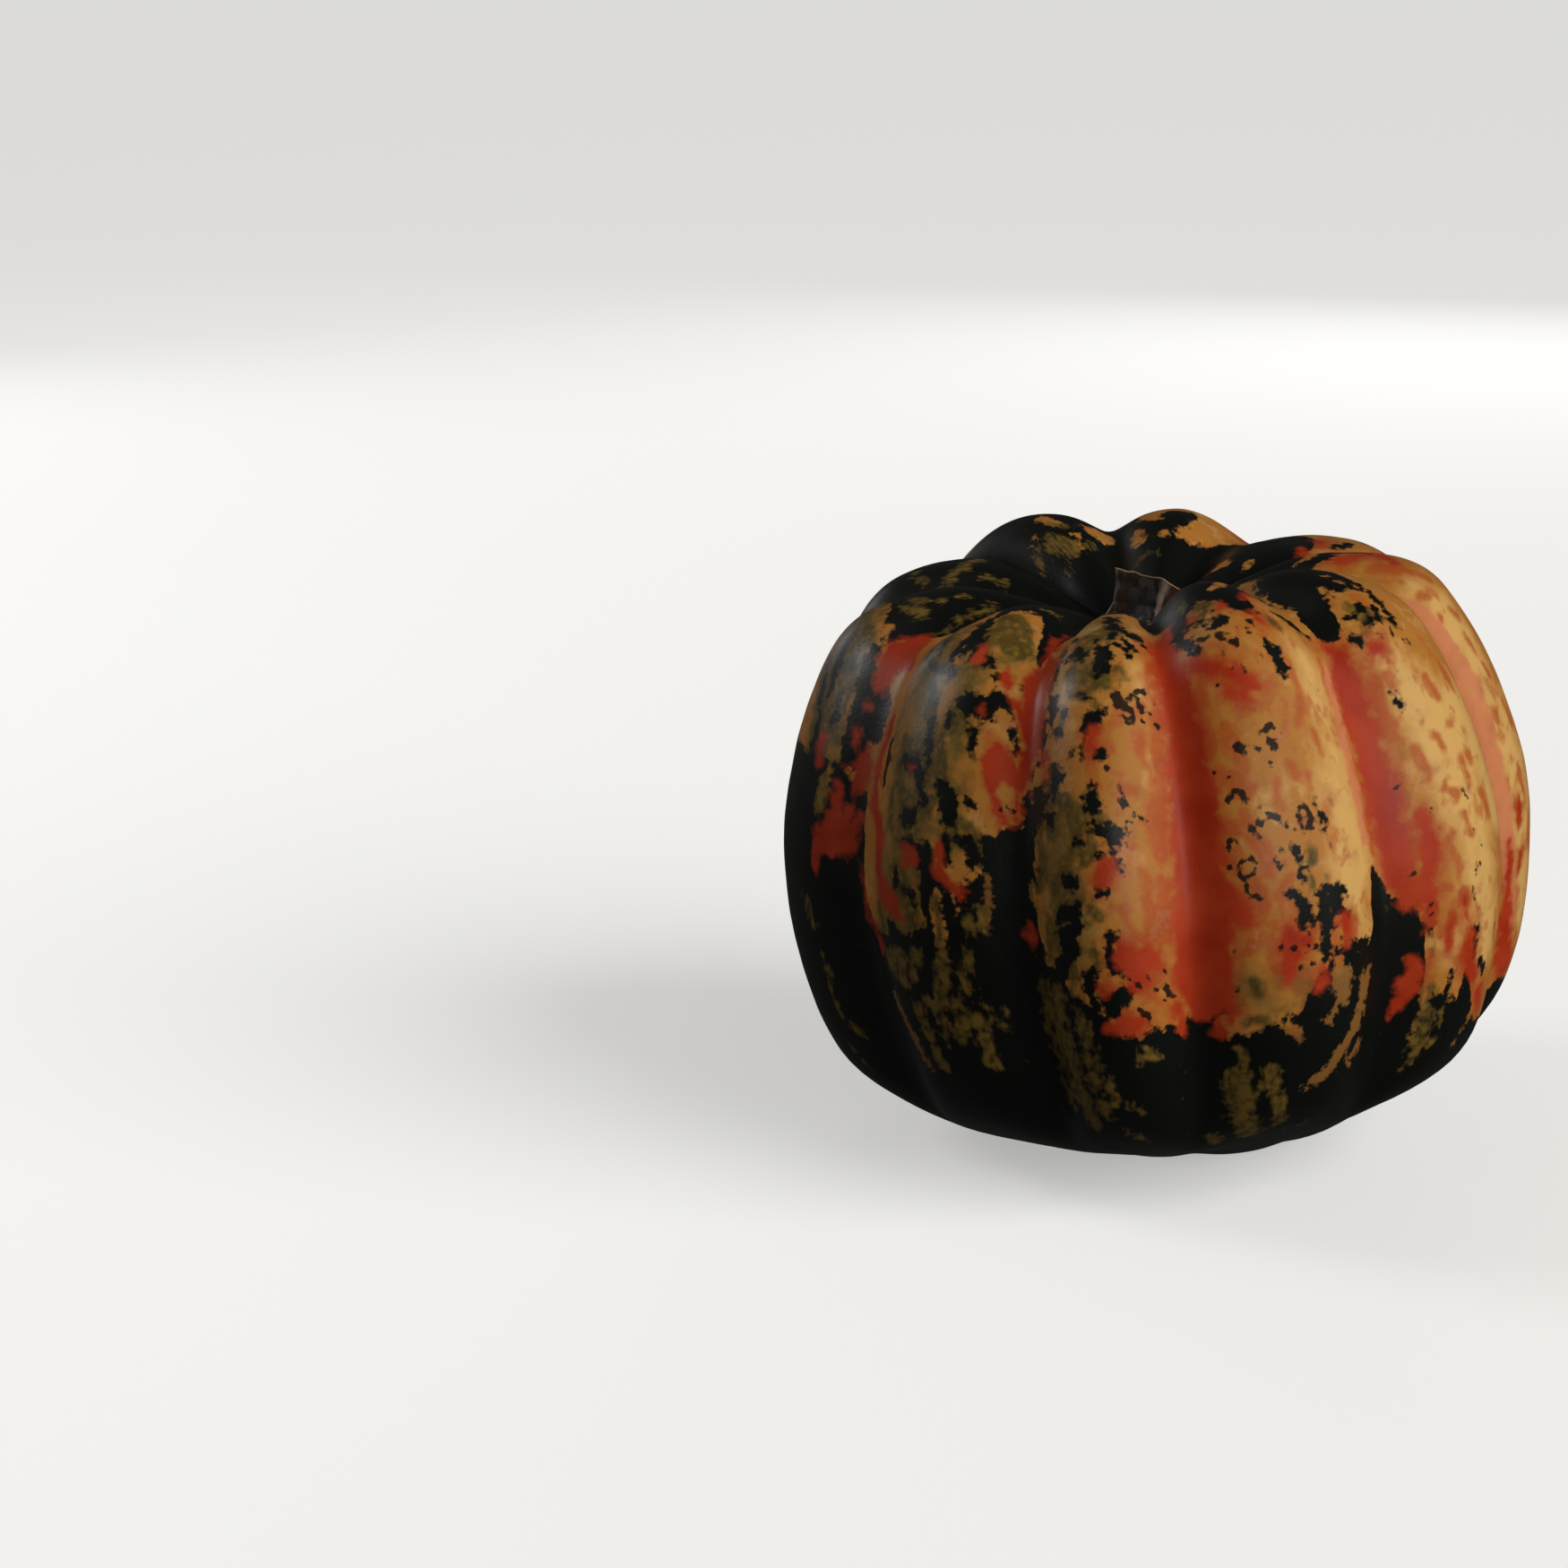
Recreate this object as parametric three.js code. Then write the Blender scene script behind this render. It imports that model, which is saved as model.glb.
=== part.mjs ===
// A ribbed winter squash with its short dry stem, standing the way it settles on a table.
// Millimetres, +Z up, with the side that is usually seen towards -Y. The origin is the middle
// of the small flat spot that the fruit rests on.

import * as THREE from 'three';

// The rind in stations, from the edge of the stem pit out over the crown and down to the resting
// spot. Each gives radius and height on the ridge of a lobe and at the bottom of a furrow, and
// the share of a lobe's own crown height and girth that is added there.
const STATIONS = [
  { ridge: [9.5, 109.5], furrow: [9.5, 109.5], crown: 0, girth: 0 }, // edge of the stem pit
  { ridge: [23, 118], furrow: [20, 112.5], crown: 0.45, girth: 0.15 }, // slope into the pit
  { ridge: [42.5, 122.5], furrow: [42, 117.5], crown: 1, girth: 0.5 }, // crown
  { ridge: [64.5, 113], furrow: [61.5, 108], crown: 0.55, girth: 0.85 }, // shoulder
  { ridge: [79, 72], furrow: [73.5, 66.5], crown: 0.1, girth: 1 }, // widest girth
  { ridge: [71.5, 27], furrow: [63, 21.5], crown: 0, girth: 0.85 }, // belly
  { ridge: [42, 7], furrow: [43, 8], crown: 0, girth: 0.5 }, // turn under the belly
  { ridge: [21.5, 0], furrow: [21.5, 0], crown: 0, girth: 0 }, // edge of the resting spot
];

// The ten lobes, anticlockwise seen from above. Each starts at its own furrow, in degrees from
// the front, and stands a little higher at the crown or fuller at the girth than the rails.
const LOBES = [
  { furrow: -58, crown: -1, girth: -1 }, // front left
  { furrow: -25, crown: -2.5, girth: 2 }, // narrow front
  { furrow: -0.5, crown: 2.5, girth: 0 }, // front right
  { furrow: 31.5, crown: 0.5, girth: -0.5 }, // right
  { furrow: 67, crown: -1.5, girth: -1.5 }, // far right
  { furrow: 103, crown: -4, girth: 2.5 }, // behind the right
  { furrow: 147, crown: 2.5, girth: -0.5 }, // back right
  { furrow: 182, crown: 4.5, girth: 1 }, // back left
  { furrow: 223, crown: 0, girth: -3 }, // behind the left
  { furrow: 262, crown: 0, girth: 0.5 }, // far left
];
const LOBE_ROUNDNESS = 2.3; // power of the curve across a lobe, 2 being a parabola
const CREASE_SOFTNESS = 0.08; // rounding at the bottom of a furrow, in half lobe widths

// The fruit leans: its axis runs to the left as it rises, and tips with it everywhere
// except close to the table, where the rind has settled flat.
const LEAN = new THREE.Vector2(-0.1, -0.01); // sideways travel for each millimetre of height
const SETTLED_HEIGHT = 14;

// The dry stem, cut off short on a slant. It has five sharp ridges with hollows between them.
const PIT_GAP = 0.3; // hairline between the stem and the pit floor
const STEM_RADII = [7.5, 7, 6.9, 7.4, 8.7]; // from the cut down to the flared foot
const STEM_RIDGES = 5;
const STEM_RIDGE_TURN = -50; // the first ridge, in degrees from the front
const STEM_RIDGE_HEIGHT = 0.1; // above and below the mean radius
const STEM_HEIGHT = 7.5; // on the axis, to the slanted cut
const CUT_SLOPE = new THREE.Vector2(-0.45, -0.3); // falls to the right and to the back
const STEM_OFFSET = 3; // the top stands this far to the right of the foot

// Fineness of the faces
const STEPS_ACROSS_LOBE = 12;
const STEPS_DOWN_RIND = 28;
const STEPS_ROUND_STEM = 40;
const STEPS_DOWN_STEM = 6;

/** Smooth curve through points of two numbers, kept in x and y. */
function rail(points) {
  const knots = points.map(([x, y]) => new THREE.Vector3(x, y, 0));
  return new THREE.CatmullRomCurve3(knots, false, 'catmullrom', 0.5);
}

const RIDGE_RAIL = rail(STATIONS.map((station) => station.ridge));
const FURROW_RAIL = rail(STATIONS.map((station) => station.furrow));
const SHARE_RAIL = rail(STATIONS.map((station) => [station.crown, station.girth]));
const PIT_FLOOR = STATIONS[0].ridge[1];

/** Point at an angle from the front (-Y), positive to the right (+X). */
function polar(angle, radius, height) {
  return new THREE.Vector3(radius * Math.sin(angle), -radius * Math.cos(angle), height);
}

/** Leans an upright point with the fruit. */
function leaned(point) {
  const tip = LEAN.x * point.x + LEAN.y * point.y;
  const free = THREE.MathUtils.smoothstep(point.z, 0, SETTLED_HEIGHT);
  return new THREE.Vector3(
    point.x + LEAN.x * point.z,
    point.y + LEAN.y * point.z,
    point.z - tip * free,
  );
}

/** How far the rind swells from furrow (0) to ridge (1), for a place from -1 to 1 across a lobe. */
function swell(across) {
  const rounded = (distance) => Math.hypot(distance, CREASE_SOFTNESS) - CREASE_SOFTNESS;
  const fromFurrow = rounded(1 - Math.abs(across)) / rounded(1);
  return 1 - (1 - fromFurrow) ** LOBE_ROUNDNESS;
}

/** Point of the rind: across a lobe from -1 to 1, and along it from pit (0) to resting spot (1). */
function rindPoint(index, across, along) {
  const count = LOBES.length;
  const lobe = LOBES[index];
  const next = LOBES[(index + 1) % count];
  const beside = across < 0 ? LOBES[(index + count - 1) % count] : next;
  const share = 0.5 * Math.abs(across) ** 1.5;
  const crown = THREE.MathUtils.lerp(lobe.crown, beside.crown, share);
  const girth = THREE.MathUtils.lerp(lobe.girth, beside.girth, share);

  const section = FURROW_RAIL.getPoint(along).lerp(RIDGE_RAIL.getPoint(along), swell(across));
  const shares = SHARE_RAIL.getPoint(along);
  const width = THREE.MathUtils.euclideanModulo(next.furrow - lobe.furrow, 360);
  const angle = THREE.MathUtils.degToRad(lobe.furrow + (width * (across + 1)) / 2);
  return leaned(polar(angle, section.x + girth * shares.y, section.y + crown * shares.x));
}

/** One ring round the rind, lobe by lobe. */
function rindRing(along) {
  return LOBES.flatMap((lobe, index) =>
    Array.from({ length: STEPS_ACROSS_LOBE }, (unused, step) =>
      rindPoint(index, (2 * step) / STEPS_ACROSS_LOBE - 1, along),
    ),
  );
}

/** One ring round the stem, from the slanted cut (0) down to the foot (1). */
function stemRing(down) {
  const place = down * (STEM_RADII.length - 1);
  const below = Math.min(Math.floor(place), STEM_RADII.length - 2);
  const radius = THREE.MathUtils.lerp(STEM_RADII[below], STEM_RADII[below + 1], place - below);
  const turn = THREE.MathUtils.degToRad(STEM_RIDGE_TURN);
  return Array.from({ length: STEPS_ROUND_STEM }, (unused, step) => {
    const angle = (2 * Math.PI * step) / STEPS_ROUND_STEM + turn;
    const hollow = Math.abs(Math.sin((STEM_RIDGES * (angle - turn)) / 2));
    const point = polar(angle, radius * (1 + STEM_RIDGE_HEIGHT * (1 - 2 * hollow)), 0);
    const rise = (1 - down) * (STEM_HEIGHT + CUT_SLOPE.x * point.x + CUT_SLOPE.y * point.y);
    point.x += STEM_OFFSET * (1 - down);
    point.z = PIT_FLOOR + PIT_GAP + rise;
    return leaned(point);
  });
}

/** Closed skin over rings of points from the top down, with a flat lid on each end. */
function skin(rings) {
  const sides = rings[0].length;
  const points = rings.flat();
  const faces = [];
  const corner = (ring, side) => ring * sides + (side % sides);
  for (let ring = 0; ring < rings.length - 1; ring += 1) {
    for (let side = 0; side < sides; side += 1) {
      const lower = corner(ring + 1, side + 1);
      faces.push(corner(ring, side), corner(ring + 1, side), lower);
      faces.push(corner(ring, side), lower, corner(ring, side + 1));
    }
  }

  const last = rings.length - 1;
  const middle = (ring) =>
    ring.reduce((sum, point) => sum.add(point), new THREE.Vector3()).divideScalar(sides);
  points.push(middle(rings[0]), middle(rings[last]));
  for (let side = 0; side < sides; side += 1) {
    faces.push(points.length - 2, corner(0, side), corner(0, side + 1));
    faces.push(points.length - 1, corner(last, side + 1), corner(last, side));
  }

  const geometry = new THREE.BufferGeometry().setFromPoints(points);
  geometry.setIndex(faces);
  geometry.computeVertexNormals();
  return geometry;
}

/** Named piece with its own matt or satin finish. */
function piece(name, geometry, color, roughness) {
  const material = new THREE.MeshStandardMaterial({ color, roughness, metalness: 0 });
  const mesh = new THREE.Mesh(geometry, material);
  mesh.name = name;
  return mesh;
}

/** Rings at even steps from the top (0) to the bottom (1). */
function rings(steps, ringAt) {
  return Array.from({ length: steps + 1 }, (unused, step) => ringAt(step / steps));
}

const squash = new THREE.Group();
squash.add(
  piece('fruit', skin(rings(STEPS_DOWN_RIND, rindRing)), '#c98d48', 0.4),
  piece('stem', skin(rings(STEPS_DOWN_STEM, stemRing)), '#4b413a', 0.85),
);

export default squash;
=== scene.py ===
"""A ribbed, mottled winter squash with its short dry stem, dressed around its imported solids.

Sizes are millimetres in the classes and metres in the meshes. Angles round the fruit are degrees
from the front (-Y), positive to the right (+X). A place on the rind is given by that angle and by
the way down: millimetres along the ridge of a lobe from the edge of the stem pit.
"""

import logging
import math
from dataclasses import dataclass
from enum import Enum

import bpy
import numpy as np
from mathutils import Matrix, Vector, noise

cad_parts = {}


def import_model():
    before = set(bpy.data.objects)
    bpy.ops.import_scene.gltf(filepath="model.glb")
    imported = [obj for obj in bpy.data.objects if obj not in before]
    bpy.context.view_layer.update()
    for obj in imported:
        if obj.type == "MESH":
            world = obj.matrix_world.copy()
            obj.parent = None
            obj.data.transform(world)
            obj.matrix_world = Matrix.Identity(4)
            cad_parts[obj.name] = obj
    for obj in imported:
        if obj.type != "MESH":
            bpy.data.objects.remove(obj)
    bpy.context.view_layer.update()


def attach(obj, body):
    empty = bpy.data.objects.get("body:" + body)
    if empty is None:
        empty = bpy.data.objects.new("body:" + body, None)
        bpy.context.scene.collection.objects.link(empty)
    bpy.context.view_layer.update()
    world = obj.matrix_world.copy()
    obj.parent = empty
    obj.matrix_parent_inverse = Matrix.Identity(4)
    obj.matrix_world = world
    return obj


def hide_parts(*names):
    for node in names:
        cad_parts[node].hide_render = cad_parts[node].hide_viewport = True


MM = 0.001
LOG = logging.getLogger("squash")
FAR = 8.0  # mm from its edge, past which a mark is no longer felt

Pair = tuple[float, float]
Triple = tuple[float, float, float]
Stroke = tuple[Triple, ...]
Socket = bpy.types.NodeSocket
Node = bpy.types.Node


def linear(colour: str) -> tuple[float, float, float, float]:
    """Turn an sRGB hex colour into linear light.

    Args:
        colour: Six hex digits after a hash sign.

    Returns:
        Linear red, green, blue and full opacity.
    """
    channels = [int(colour[start : start + 2], 16) / 255 for start in (1, 3, 5)]
    red, green, blue = (c / 12.92 if c <= 0.04045 else ((c + 0.055) / 1.055) ** 2.4 for c in channels)
    return red, green, blue, 1.0


def add_node(
    tree: bpy.types.NodeTree, kind: str, settings: dict | None = None, inputs: dict | None = None
) -> Node:
    """Add a node with its settings and links.

    Args:
        tree: Tree that the node joins.
        kind: Blender's name for the kind of node.
        settings: Values of the node's own properties.
        inputs: What feeds each input, by index, identifier or name: another node's first output,
            an output socket, or a fixed value.

    Returns:
        The new node.
    """
    node = tree.nodes.new(kind)
    for name, value in (settings or {}).items():
        setattr(node, name, value)
    known = {socket.identifier: socket for socket in node.inputs}
    for key, value in (inputs or {}).items():
        socket = known.get(key) or node.inputs[key]
        if isinstance(value, Node):
            value = next(output for output in value.outputs if output.enabled)
        if isinstance(value, Socket):
            tree.links.new(value, socket)
        else:
            socket.default_value = value
    return node


def start_tree(name: str, sizes: dict[str, str]) -> tuple[bpy.types.NodeTree, Node]:
    """Start a geometry tree that takes a mesh and named sizes.

    Args:
        name: The tree's name.
        sizes: Socket type of each named input.

    Returns:
        The tree and its input node.
    """
    tree = bpy.data.node_groups.new(name, "GeometryNodeTree")
    tree.interface.new_socket("Geometry", in_out="OUTPUT", socket_type="NodeSocketGeometry")
    tree.interface.new_socket("Geometry", in_out="INPUT", socket_type="NodeSocketGeometry")
    for label, kind in sizes.items():
        tree.interface.new_socket(label, in_out="INPUT", socket_type=kind)
    return tree, add_node(tree, "NodeGroupInput")


def run_tree(name: str, start: bpy.types.Mesh, tree: bpy.types.NodeTree, values: dict) -> bpy.types.Object:
    """Run a geometry tree on a mesh and keep the result as a plain mesh.

    Args:
        name: Name of the piece that comes out.
        start: Mesh that the tree starts from.
        tree: The tree to run.
        values: Value of each named input.

    Returns:
        The piece, at the origin, with no modifiers.
    """
    maker = bpy.data.objects.new(name + "_maker", start)
    bpy.context.scene.collection.objects.link(maker)
    modifier = maker.modifiers.new("shape", "NODES")
    modifier.node_group = tree
    for item in tree.interface.items_tree:
        if item.in_out == "INPUT" and item.name in values:
            modifier[item.identifier] = values[item.name]
    depsgraph = bpy.context.evaluated_depsgraph_get()
    mesh = bpy.data.meshes.new_from_object(
        maker.evaluated_get(depsgraph), preserve_all_data_layers=True, depsgraph=depsgraph
    )
    mesh.name = name
    maker.modifiers.remove(modifier)
    bpy.data.objects.remove(maker)
    piece = bpy.data.objects.new(name, mesh)
    bpy.context.scene.collection.objects.link(piece)
    return piece


def read_attribute(mesh: bpy.types.Mesh, name: str, width: int) -> np.ndarray:
    """Read a point attribute of a mesh.

    Args:
        mesh: Mesh that holds it.
        name: The attribute's name.
        width: Numbers at each point, 1 or 3.

    Returns:
        One row for each point, or one number where the width is 1.
    """
    values = np.zeros(len(mesh.vertices) * width, np.float32)
    mesh.attributes[name].data.foreach_get("vector" if width == 3 else "value", values)
    return values.reshape(-1, 3).astype(float) if width == 3 else values.astype(float)


def write_attribute(mesh: bpy.types.Mesh, name: str, values: np.ndarray) -> None:
    """Write a point attribute of a mesh.

    Args:
        mesh: Mesh that gets it.
        name: The attribute's name.
        values: One number, or one row of three, for each point.
    """
    kind = "FLOAT_VECTOR" if values.ndim == 2 else "FLOAT"
    attribute = mesh.attributes.new(name, kind, "POINT")
    field = "vector" if values.ndim == 2 else "value"
    attribute.data.foreach_set(field, values.astype(np.float32).ravel())


class Pigment(Enum):
    """What a mark on the rind is, by the name of its mesh attribute."""

    DARK = "dark"  # solid dark green, crisp at the edge
    BARE = "bare"  # ground left bare inside the dark green
    OLIVE = "olive"  # half dark, half gold, in grains
    KHAKI_AND_SHADE = "khaki_and_shade"  # darker greenish tint of the ground: partly real, partly painted shade on the left lobes
    PALE_AND_LIT = "pale"  # cream ground amid the gold, partly painted light on lobes facing the light
    ORANGE = "orange"  # orange patches, on top of the green
    FLUSH = "flush"  # soft orange stain in the ground
    ROSE_AND_SHEEN = "rose_and_sheen"  # smooth salmon edge of a furrow: partly orange flush, partly painted sheen
    SPECK = "speck"  # small dark spots on top of everything


# Millimetres over which the edge of a soft pigment fades.
BLURS: dict[Pigment, float] = {
    Pigment.OLIVE: 2.5,
    Pigment.FLUSH: 2.0,
    Pigment.ROSE_AND_SHEEN: 1.5,
    Pigment.KHAKI_AND_SHADE: 8.0,
    Pigment.PALE_AND_LIT: 8.0,
}

# Marks on the side that is seen, lobe by lobe from left to right, then the crowns of the lobes behind.
# Each stroke is a chain of (angle, way down, half width).
SEEN_MARKS: dict[Pigment, tuple[Stroke, ...]] = {
    Pigment.DARK: (
        # Far left lobe
        ((-67, 56, 1.5), (-64.8, 62, 2.4), (-63.5, 70, 3.4), (-63.5, 77, 3.4)),
        ((-61, 63, 2.2), (-60.3, 71, 2.2)), ((-76, 55, 1), (-74.5, 62, 1.5), (-73, 68, 1.4)),
        ((-78, 64, 1.2), (-75.5, 72, 1.3)), ((-60.3, 57.5, 0.8),), ((-70.5, 57, 0.8), (-69.3, 62, 1)),
        ((-70, 67, 0.8), (-69, 73, 1.1)), ((-73.5, 75, 1.4), (-72, 80, 1.6)),
        # Front left lobe
        ((-43.5, 40, 1), (-42, 44, 1.6), (-40.8, 48, 2), (-40, 51.5, 1.8), (-40.6, 55, 1.1)),
        ((-38.7, 50, 1.2), (-38.3, 54, 1.2)), ((-42.2, 51, 0.8), (-42.5, 56, 0.8)), ((-47.8, 57, 1.2),),
        ((-36.5, 52.5, 0.9), (-35.5, 54.5, 1.3), (-34, 54.3, 1.2)),
        ((-45.5, 58.5, 1.4), (-43.2, 59, 1.2)), ((-42, 56.5, 0.8), (-41, 59.5, 1)),
        ((-52, 51, 0.5), (-50.3, 56, 0.6)), ((-47.5, 51, 0.5), (-46.5, 55.5, 0.6)),
        ((-37.3, 65, 1.2), (-36, 64.8, 2), (-34.5, 64.5, 2.3), (-33, 63.8, 2), (-31.8, 62.2, 1.5),
         (-30.5, 61.5, 1.2)),
        ((-33, 66, 1.3), (-32.2, 66, 1)), ((-30.8, 60.5, 0.9), (-29.4, 61.8, 1.2), (-28.4, 63.3, 0.9)),
        ((-32, 57, 0.9),), ((-34.4, 69.5, 0.9), (-34, 72.3, 1.2), (-33.8, 74, 0.7)),
        ((-42.4, 69, 0.8), (-42, 74, 0.9), (-41.8, 78, 0.8)), ((-27.6, 57, 0.6),),
        ((-39.3, 66, 0.6), (-38.8, 70, 0.6)), ((-44.5, 62, 1), (-43.2, 64.5, 1)),
        ((-53.5, 73, 1.2), (-53, 77, 1.6), (-53.8, 80, 1.2)),
        ((-46.8, 77.5, 1.2), (-45, 78.5, 2), (-43, 80, 1.4)), ((-27.8, 67, 0.8), (-27.5, 71, 0.7)),
        ((-45, 88.5, 1.4), (-44, 89.2, 1.8)), ((-43, 82.5, 0.9), (-41.5, 86, 0.9)),
        ((-38.3, 82.3, 1.5), (-37, 84.5, 2.3), (-36.8, 88, 2)),
        ((-36.8, 92, 1), (-36.5, 95, 1.2), (-36.8, 97, 0.8)),
        ((-44.6, 94, 0.7), (-42.5, 93.8, 1), (-41.4, 94.6, 1), (-41.3, 98, 1)),
        ((-46.5, 100.5, 0.8), (-46.3, 102.7, 0.8)),
        ((-40, 94, 1.1), (-40.2, 100, 1.7), (-40, 106, 1.3), (-40, 112, 1.2), (-40.2, 118, 1.3),
         (-41, 123, 1.5)),
        ((-40.5, 99, 1.4), (-38.5, 101, 1.5), (-36.6, 102, 1.2)), ((-44, 104, 1.6), (-43, 104.8, 1.3)),
        ((-49, 110.5, 0.9), (-47.5, 111.5, 1), (-46.5, 113, 0.8)),
        ((-36.3, 104, 1.6), (-35.8, 112, 1.5), (-36, 118, 1.3)), ((-33.8, 84, 1.2),),
        ((-34.6, 92, 1.4), (-33.4, 92, 1.5), (-32.6, 94, 1.6), (-33.2, 95.6, 1.3)),
        ((-32, 99.5, 1.2), (-33.5, 101.5, 1.6), (-34.5, 103.5, 1.5)),
        ((-31, 90, 1.2), (-30, 94, 2), (-29, 100, 3)),
        # Narrow front lobe
        ((-21.6, 44, 0.5), (-20.8, 48, 0.8), (-21, 53, 0.9), (-21.3, 57, 0.8)),
        ((-21.6, 58.5, 0.6), (-20.6, 61, 1.2), (-20.2, 63.5, 1.5), (-20.8, 66, 1)),
        ((-22.2, 64.5, 0.9), (-22.3, 67.5, 1), (-22.2, 70, 0.6)),
        ((-24.2, 74.3, 0.9), (-23.3, 73.5, 0.7), (-22, 72.5, 0.6)),
        ((-13.5, 33.5, 1), (-11.8, 35.5, 1.6), (-10.8, 39, 1.4), (-10.6, 43, 1), (-10.4, 47, 0.8)),
        ((-8.4, 42.5, 1), (-7, 43.3, 1.3), (-5.6, 44.3, 1.3), (-4.6, 45.5, 0.8)),
        ((-4.3, 46, 0.5), (-3.8, 48.2, 0.6)),
        ((-10.2, 48, 0.9), (-9, 49.3, 1), (-7.6, 50.6, 1), (-6.7, 52.2, 0.7)),
        ((-8, 47, 0.8), (-7, 48.8, 1), (-6.4, 50, 0.6)), ((-13.6, 47.2, 0.9),),
        ((-18.8, 52.3, 0.8), (-17.8, 51, 1.4), (-16.5, 50.6, 1.8), (-15.6, 51.8, 1.5), (-15.3, 53, 0.8)),
        ((-11.7, 50.8, 1.7), (-11.6, 54, 1.8), (-11.5, 56.3, 1.5), (-12.4, 58, 0.9)),
        ((-19.5, 42, 1), (-19, 44.5, 0.8)), ((-15, 62.3, 0.8), (-13.8, 62.6, 0.8)),
        ((-19.3, 67.8, 1.2), (-18.7, 69, 0.9)), ((-18, 64.8, 0.8),),
        ((-11, 65, 0.9), (-12, 66.4, 1), (-13, 67.5, 1.8), (-13.6, 69, 1.2), (-14, 70, 0.7)),
        ((-14.4, 71, 0.5), (-14.7, 72.5, 0.9), (-15, 74.3, 0.7)), ((-16.3, 73.6, 0.8),),
        ((-11.8, 74, 0.9), (-11, 75, 1.1)), ((-12.9, 79.6, 0.8),),
        ((-19.7, 76, 1.4), (-18.8, 77.5, 1.7), (-19, 80, 1.5)),
        ((-22.5, 78.5, 1.4), (-22.5, 81.5, 2.2), (-23, 84.5, 2.2)),
        ((-24.6, 79, 1), (-24.5, 84, 1.6), (-24.6, 90, 1.8)), ((-20, 84, 1.3), (-19.5, 86, 1.2)),
        ((-13.5, 83, 1.5), (-12.5, 85, 1.3)), ((-15.3, 91.5, 1.2),), ((-12.4, 94, 1),),
        ((-13.5, 88.5, 1), (-11.8, 88.8, 1.8), (-10.2, 89.3, 1.6), (-9, 89.5, 1)),
        ((-11, 91.2, 0.9), (-9.9, 91, 0.9)), ((-10.6, 92.5, 0.8), (-10, 94.5, 1.1), (-9.6, 96.8, 0.8)),
        ((-17.1, 98, 1.2), (-16.6, 99, 1.2)), ((-12.8, 101.3, 1.1), (-12.2, 102, 1.1)),
        ((-18.2, 104.5, 1.8), (-16.6, 104.3, 2), (-16.2, 107.5, 1.8)),
        ((-17.8, 108, 2.2), (-17.5, 111.5, 2.4), (-19, 114, 1.8), (-19, 117.5, 1.3)),
        ((-24.3, 92, 1.4), (-24.2, 102, 1.4)),
        ((-11.2, 109.5, 1.1), (-11.7, 113, 1), (-11.3, 116.5, 1.2), (-10.6, 117.5, 0.8)),
        ((-14.6, 118, 1.6), (-14.8, 121, 1.8), (-14.6, 124, 1.2)),
        ((-10.3, 121.5, 1.6), (-11.3, 123, 2), (-12.8, 124.5, 1.8), (-11.8, 126, 1.2)),
        ((-23.3, 110, 1.6), (-24, 114, 2)),
        # Front right lobe
        ((-0.6, 119.8, 0.5), (0.9, 121.5, 0.75), (2.6, 121, 0.5)),
        ((2.8, 44, 1), (3.4, 47, 1.6), (3.6, 50, 1.6), (4.6, 52.5, 1)), ((4.8, 44.5, 0.8), (5.6, 47, 1)),
        ((4.6, 54, 0.9), (5.6, 54.6, 1), (6.2, 55, 0.5)), ((8, 48.5, 1.2), (8.8, 49.3, 0.9)),
        ((10.5, 51, 1.1), (11.5, 50.8, 1.5), (13, 50, 0.9)), ((14, 46.5, 0.9),),
        ((16, 47, 1.6), (18, 48, 1.8), (19, 50, 1)),
        ((24, 49, 0.8), (26, 50, 1.3), (28, 52, 1.4), (29.5, 53.5, 0.7)),
        ((18, 57.3, 0.5), (18.4, 59, 1), (19, 61, 1.3), (19.6, 63, 1.4), (19.6, 64.5, 0.9)),
        ((19.2, 88.5, 0.5), (19.7, 91, 0.7), (20.1, 93.5, 1), (20.5, 96.5, 0.8), (20.7, 98, 0.5)),
        ((15.2, 97.7, 0.9), (15.3, 99.5, 1.3), (16, 101, 1)), ((15.5, 103, 0.7), (16, 104, 0.8)),
        ((13.2, 105.2, 0.9), (14.4, 107, 1), (15.6, 108.8, 1.4), (15.8, 111, 1.6), (15.2, 112.5, 1)),
        ((19, 106.5, 1.2), (20.5, 107, 1.8), (22, 106.5, 1.4), (22.5, 108, 1)),
        ((19, 109.5, 2), (21, 109.8, 2), (22.3, 110.8, 1)),
        ((18.8, 108, 1.6), (18.8, 112, 1.8), (18.9, 116, 1.8), (18.7, 119.5, 1.6)),
        ((20.5, 118.5, 1.2), (22.5, 119, 1)), ((21.2, 115.5, 0.9),),
        ((23.5, 118, 1.3), (26, 117.5, 1.6), (28.5, 116.5, 1.6)),
        ((25.5, 120.5, 1.3), (27.5, 119.5, 1.5)),
        ((-0.6, 121.3, 0.7), (0, 122.5, 1.2), (1.5, 122, 1), (2.6, 121, 0.7)),
        ((2.2, 125, 1.1), (4, 125, 1)),
        # Right lobe
        ((48, 44, 1), (48.6, 48, 0.9), (48, 53, 0.8), (47.3, 57, 0.8), (47.3, 60.5, 0.8)),
        ((47.5, 64, 0.5),), ((42.8, 53, 0.9), (43.3, 54.3, 1)), ((39.5, 54.3, 0.7), (40.8, 54.5, 0.7)),
        ((45.2, 55.6, 1),), ((43, 61.3, 0.7),), ((41.5, 57.3, 0.8), (43, 57.8, 1), (44.7, 57.5, 1)),
        ((37.6, 57.8, 1), (38, 59.5, 1)), ((45, 61.5, 0.6),),
        ((39.6, 72.3, 0.6), (40.2, 73.8, 1), (40.7, 75.2, 0.7)), ((39, 118.8, 0.8),),
        ((47.3, 124, 0.9), (47, 126, 0.6), (47.2, 128, 0.8), (47, 130, 0.8)),
        ((49.5, 132, 1), (50.6, 133, 1.2), (50.8, 134.5, 0.7)), ((42.5, 130.5, 0.8), (43, 133, 1.2)),
        ((36.5, 115, 1.6), (36.8, 119, 1.7)),
        # Far right lobe and the lobes behind
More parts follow.
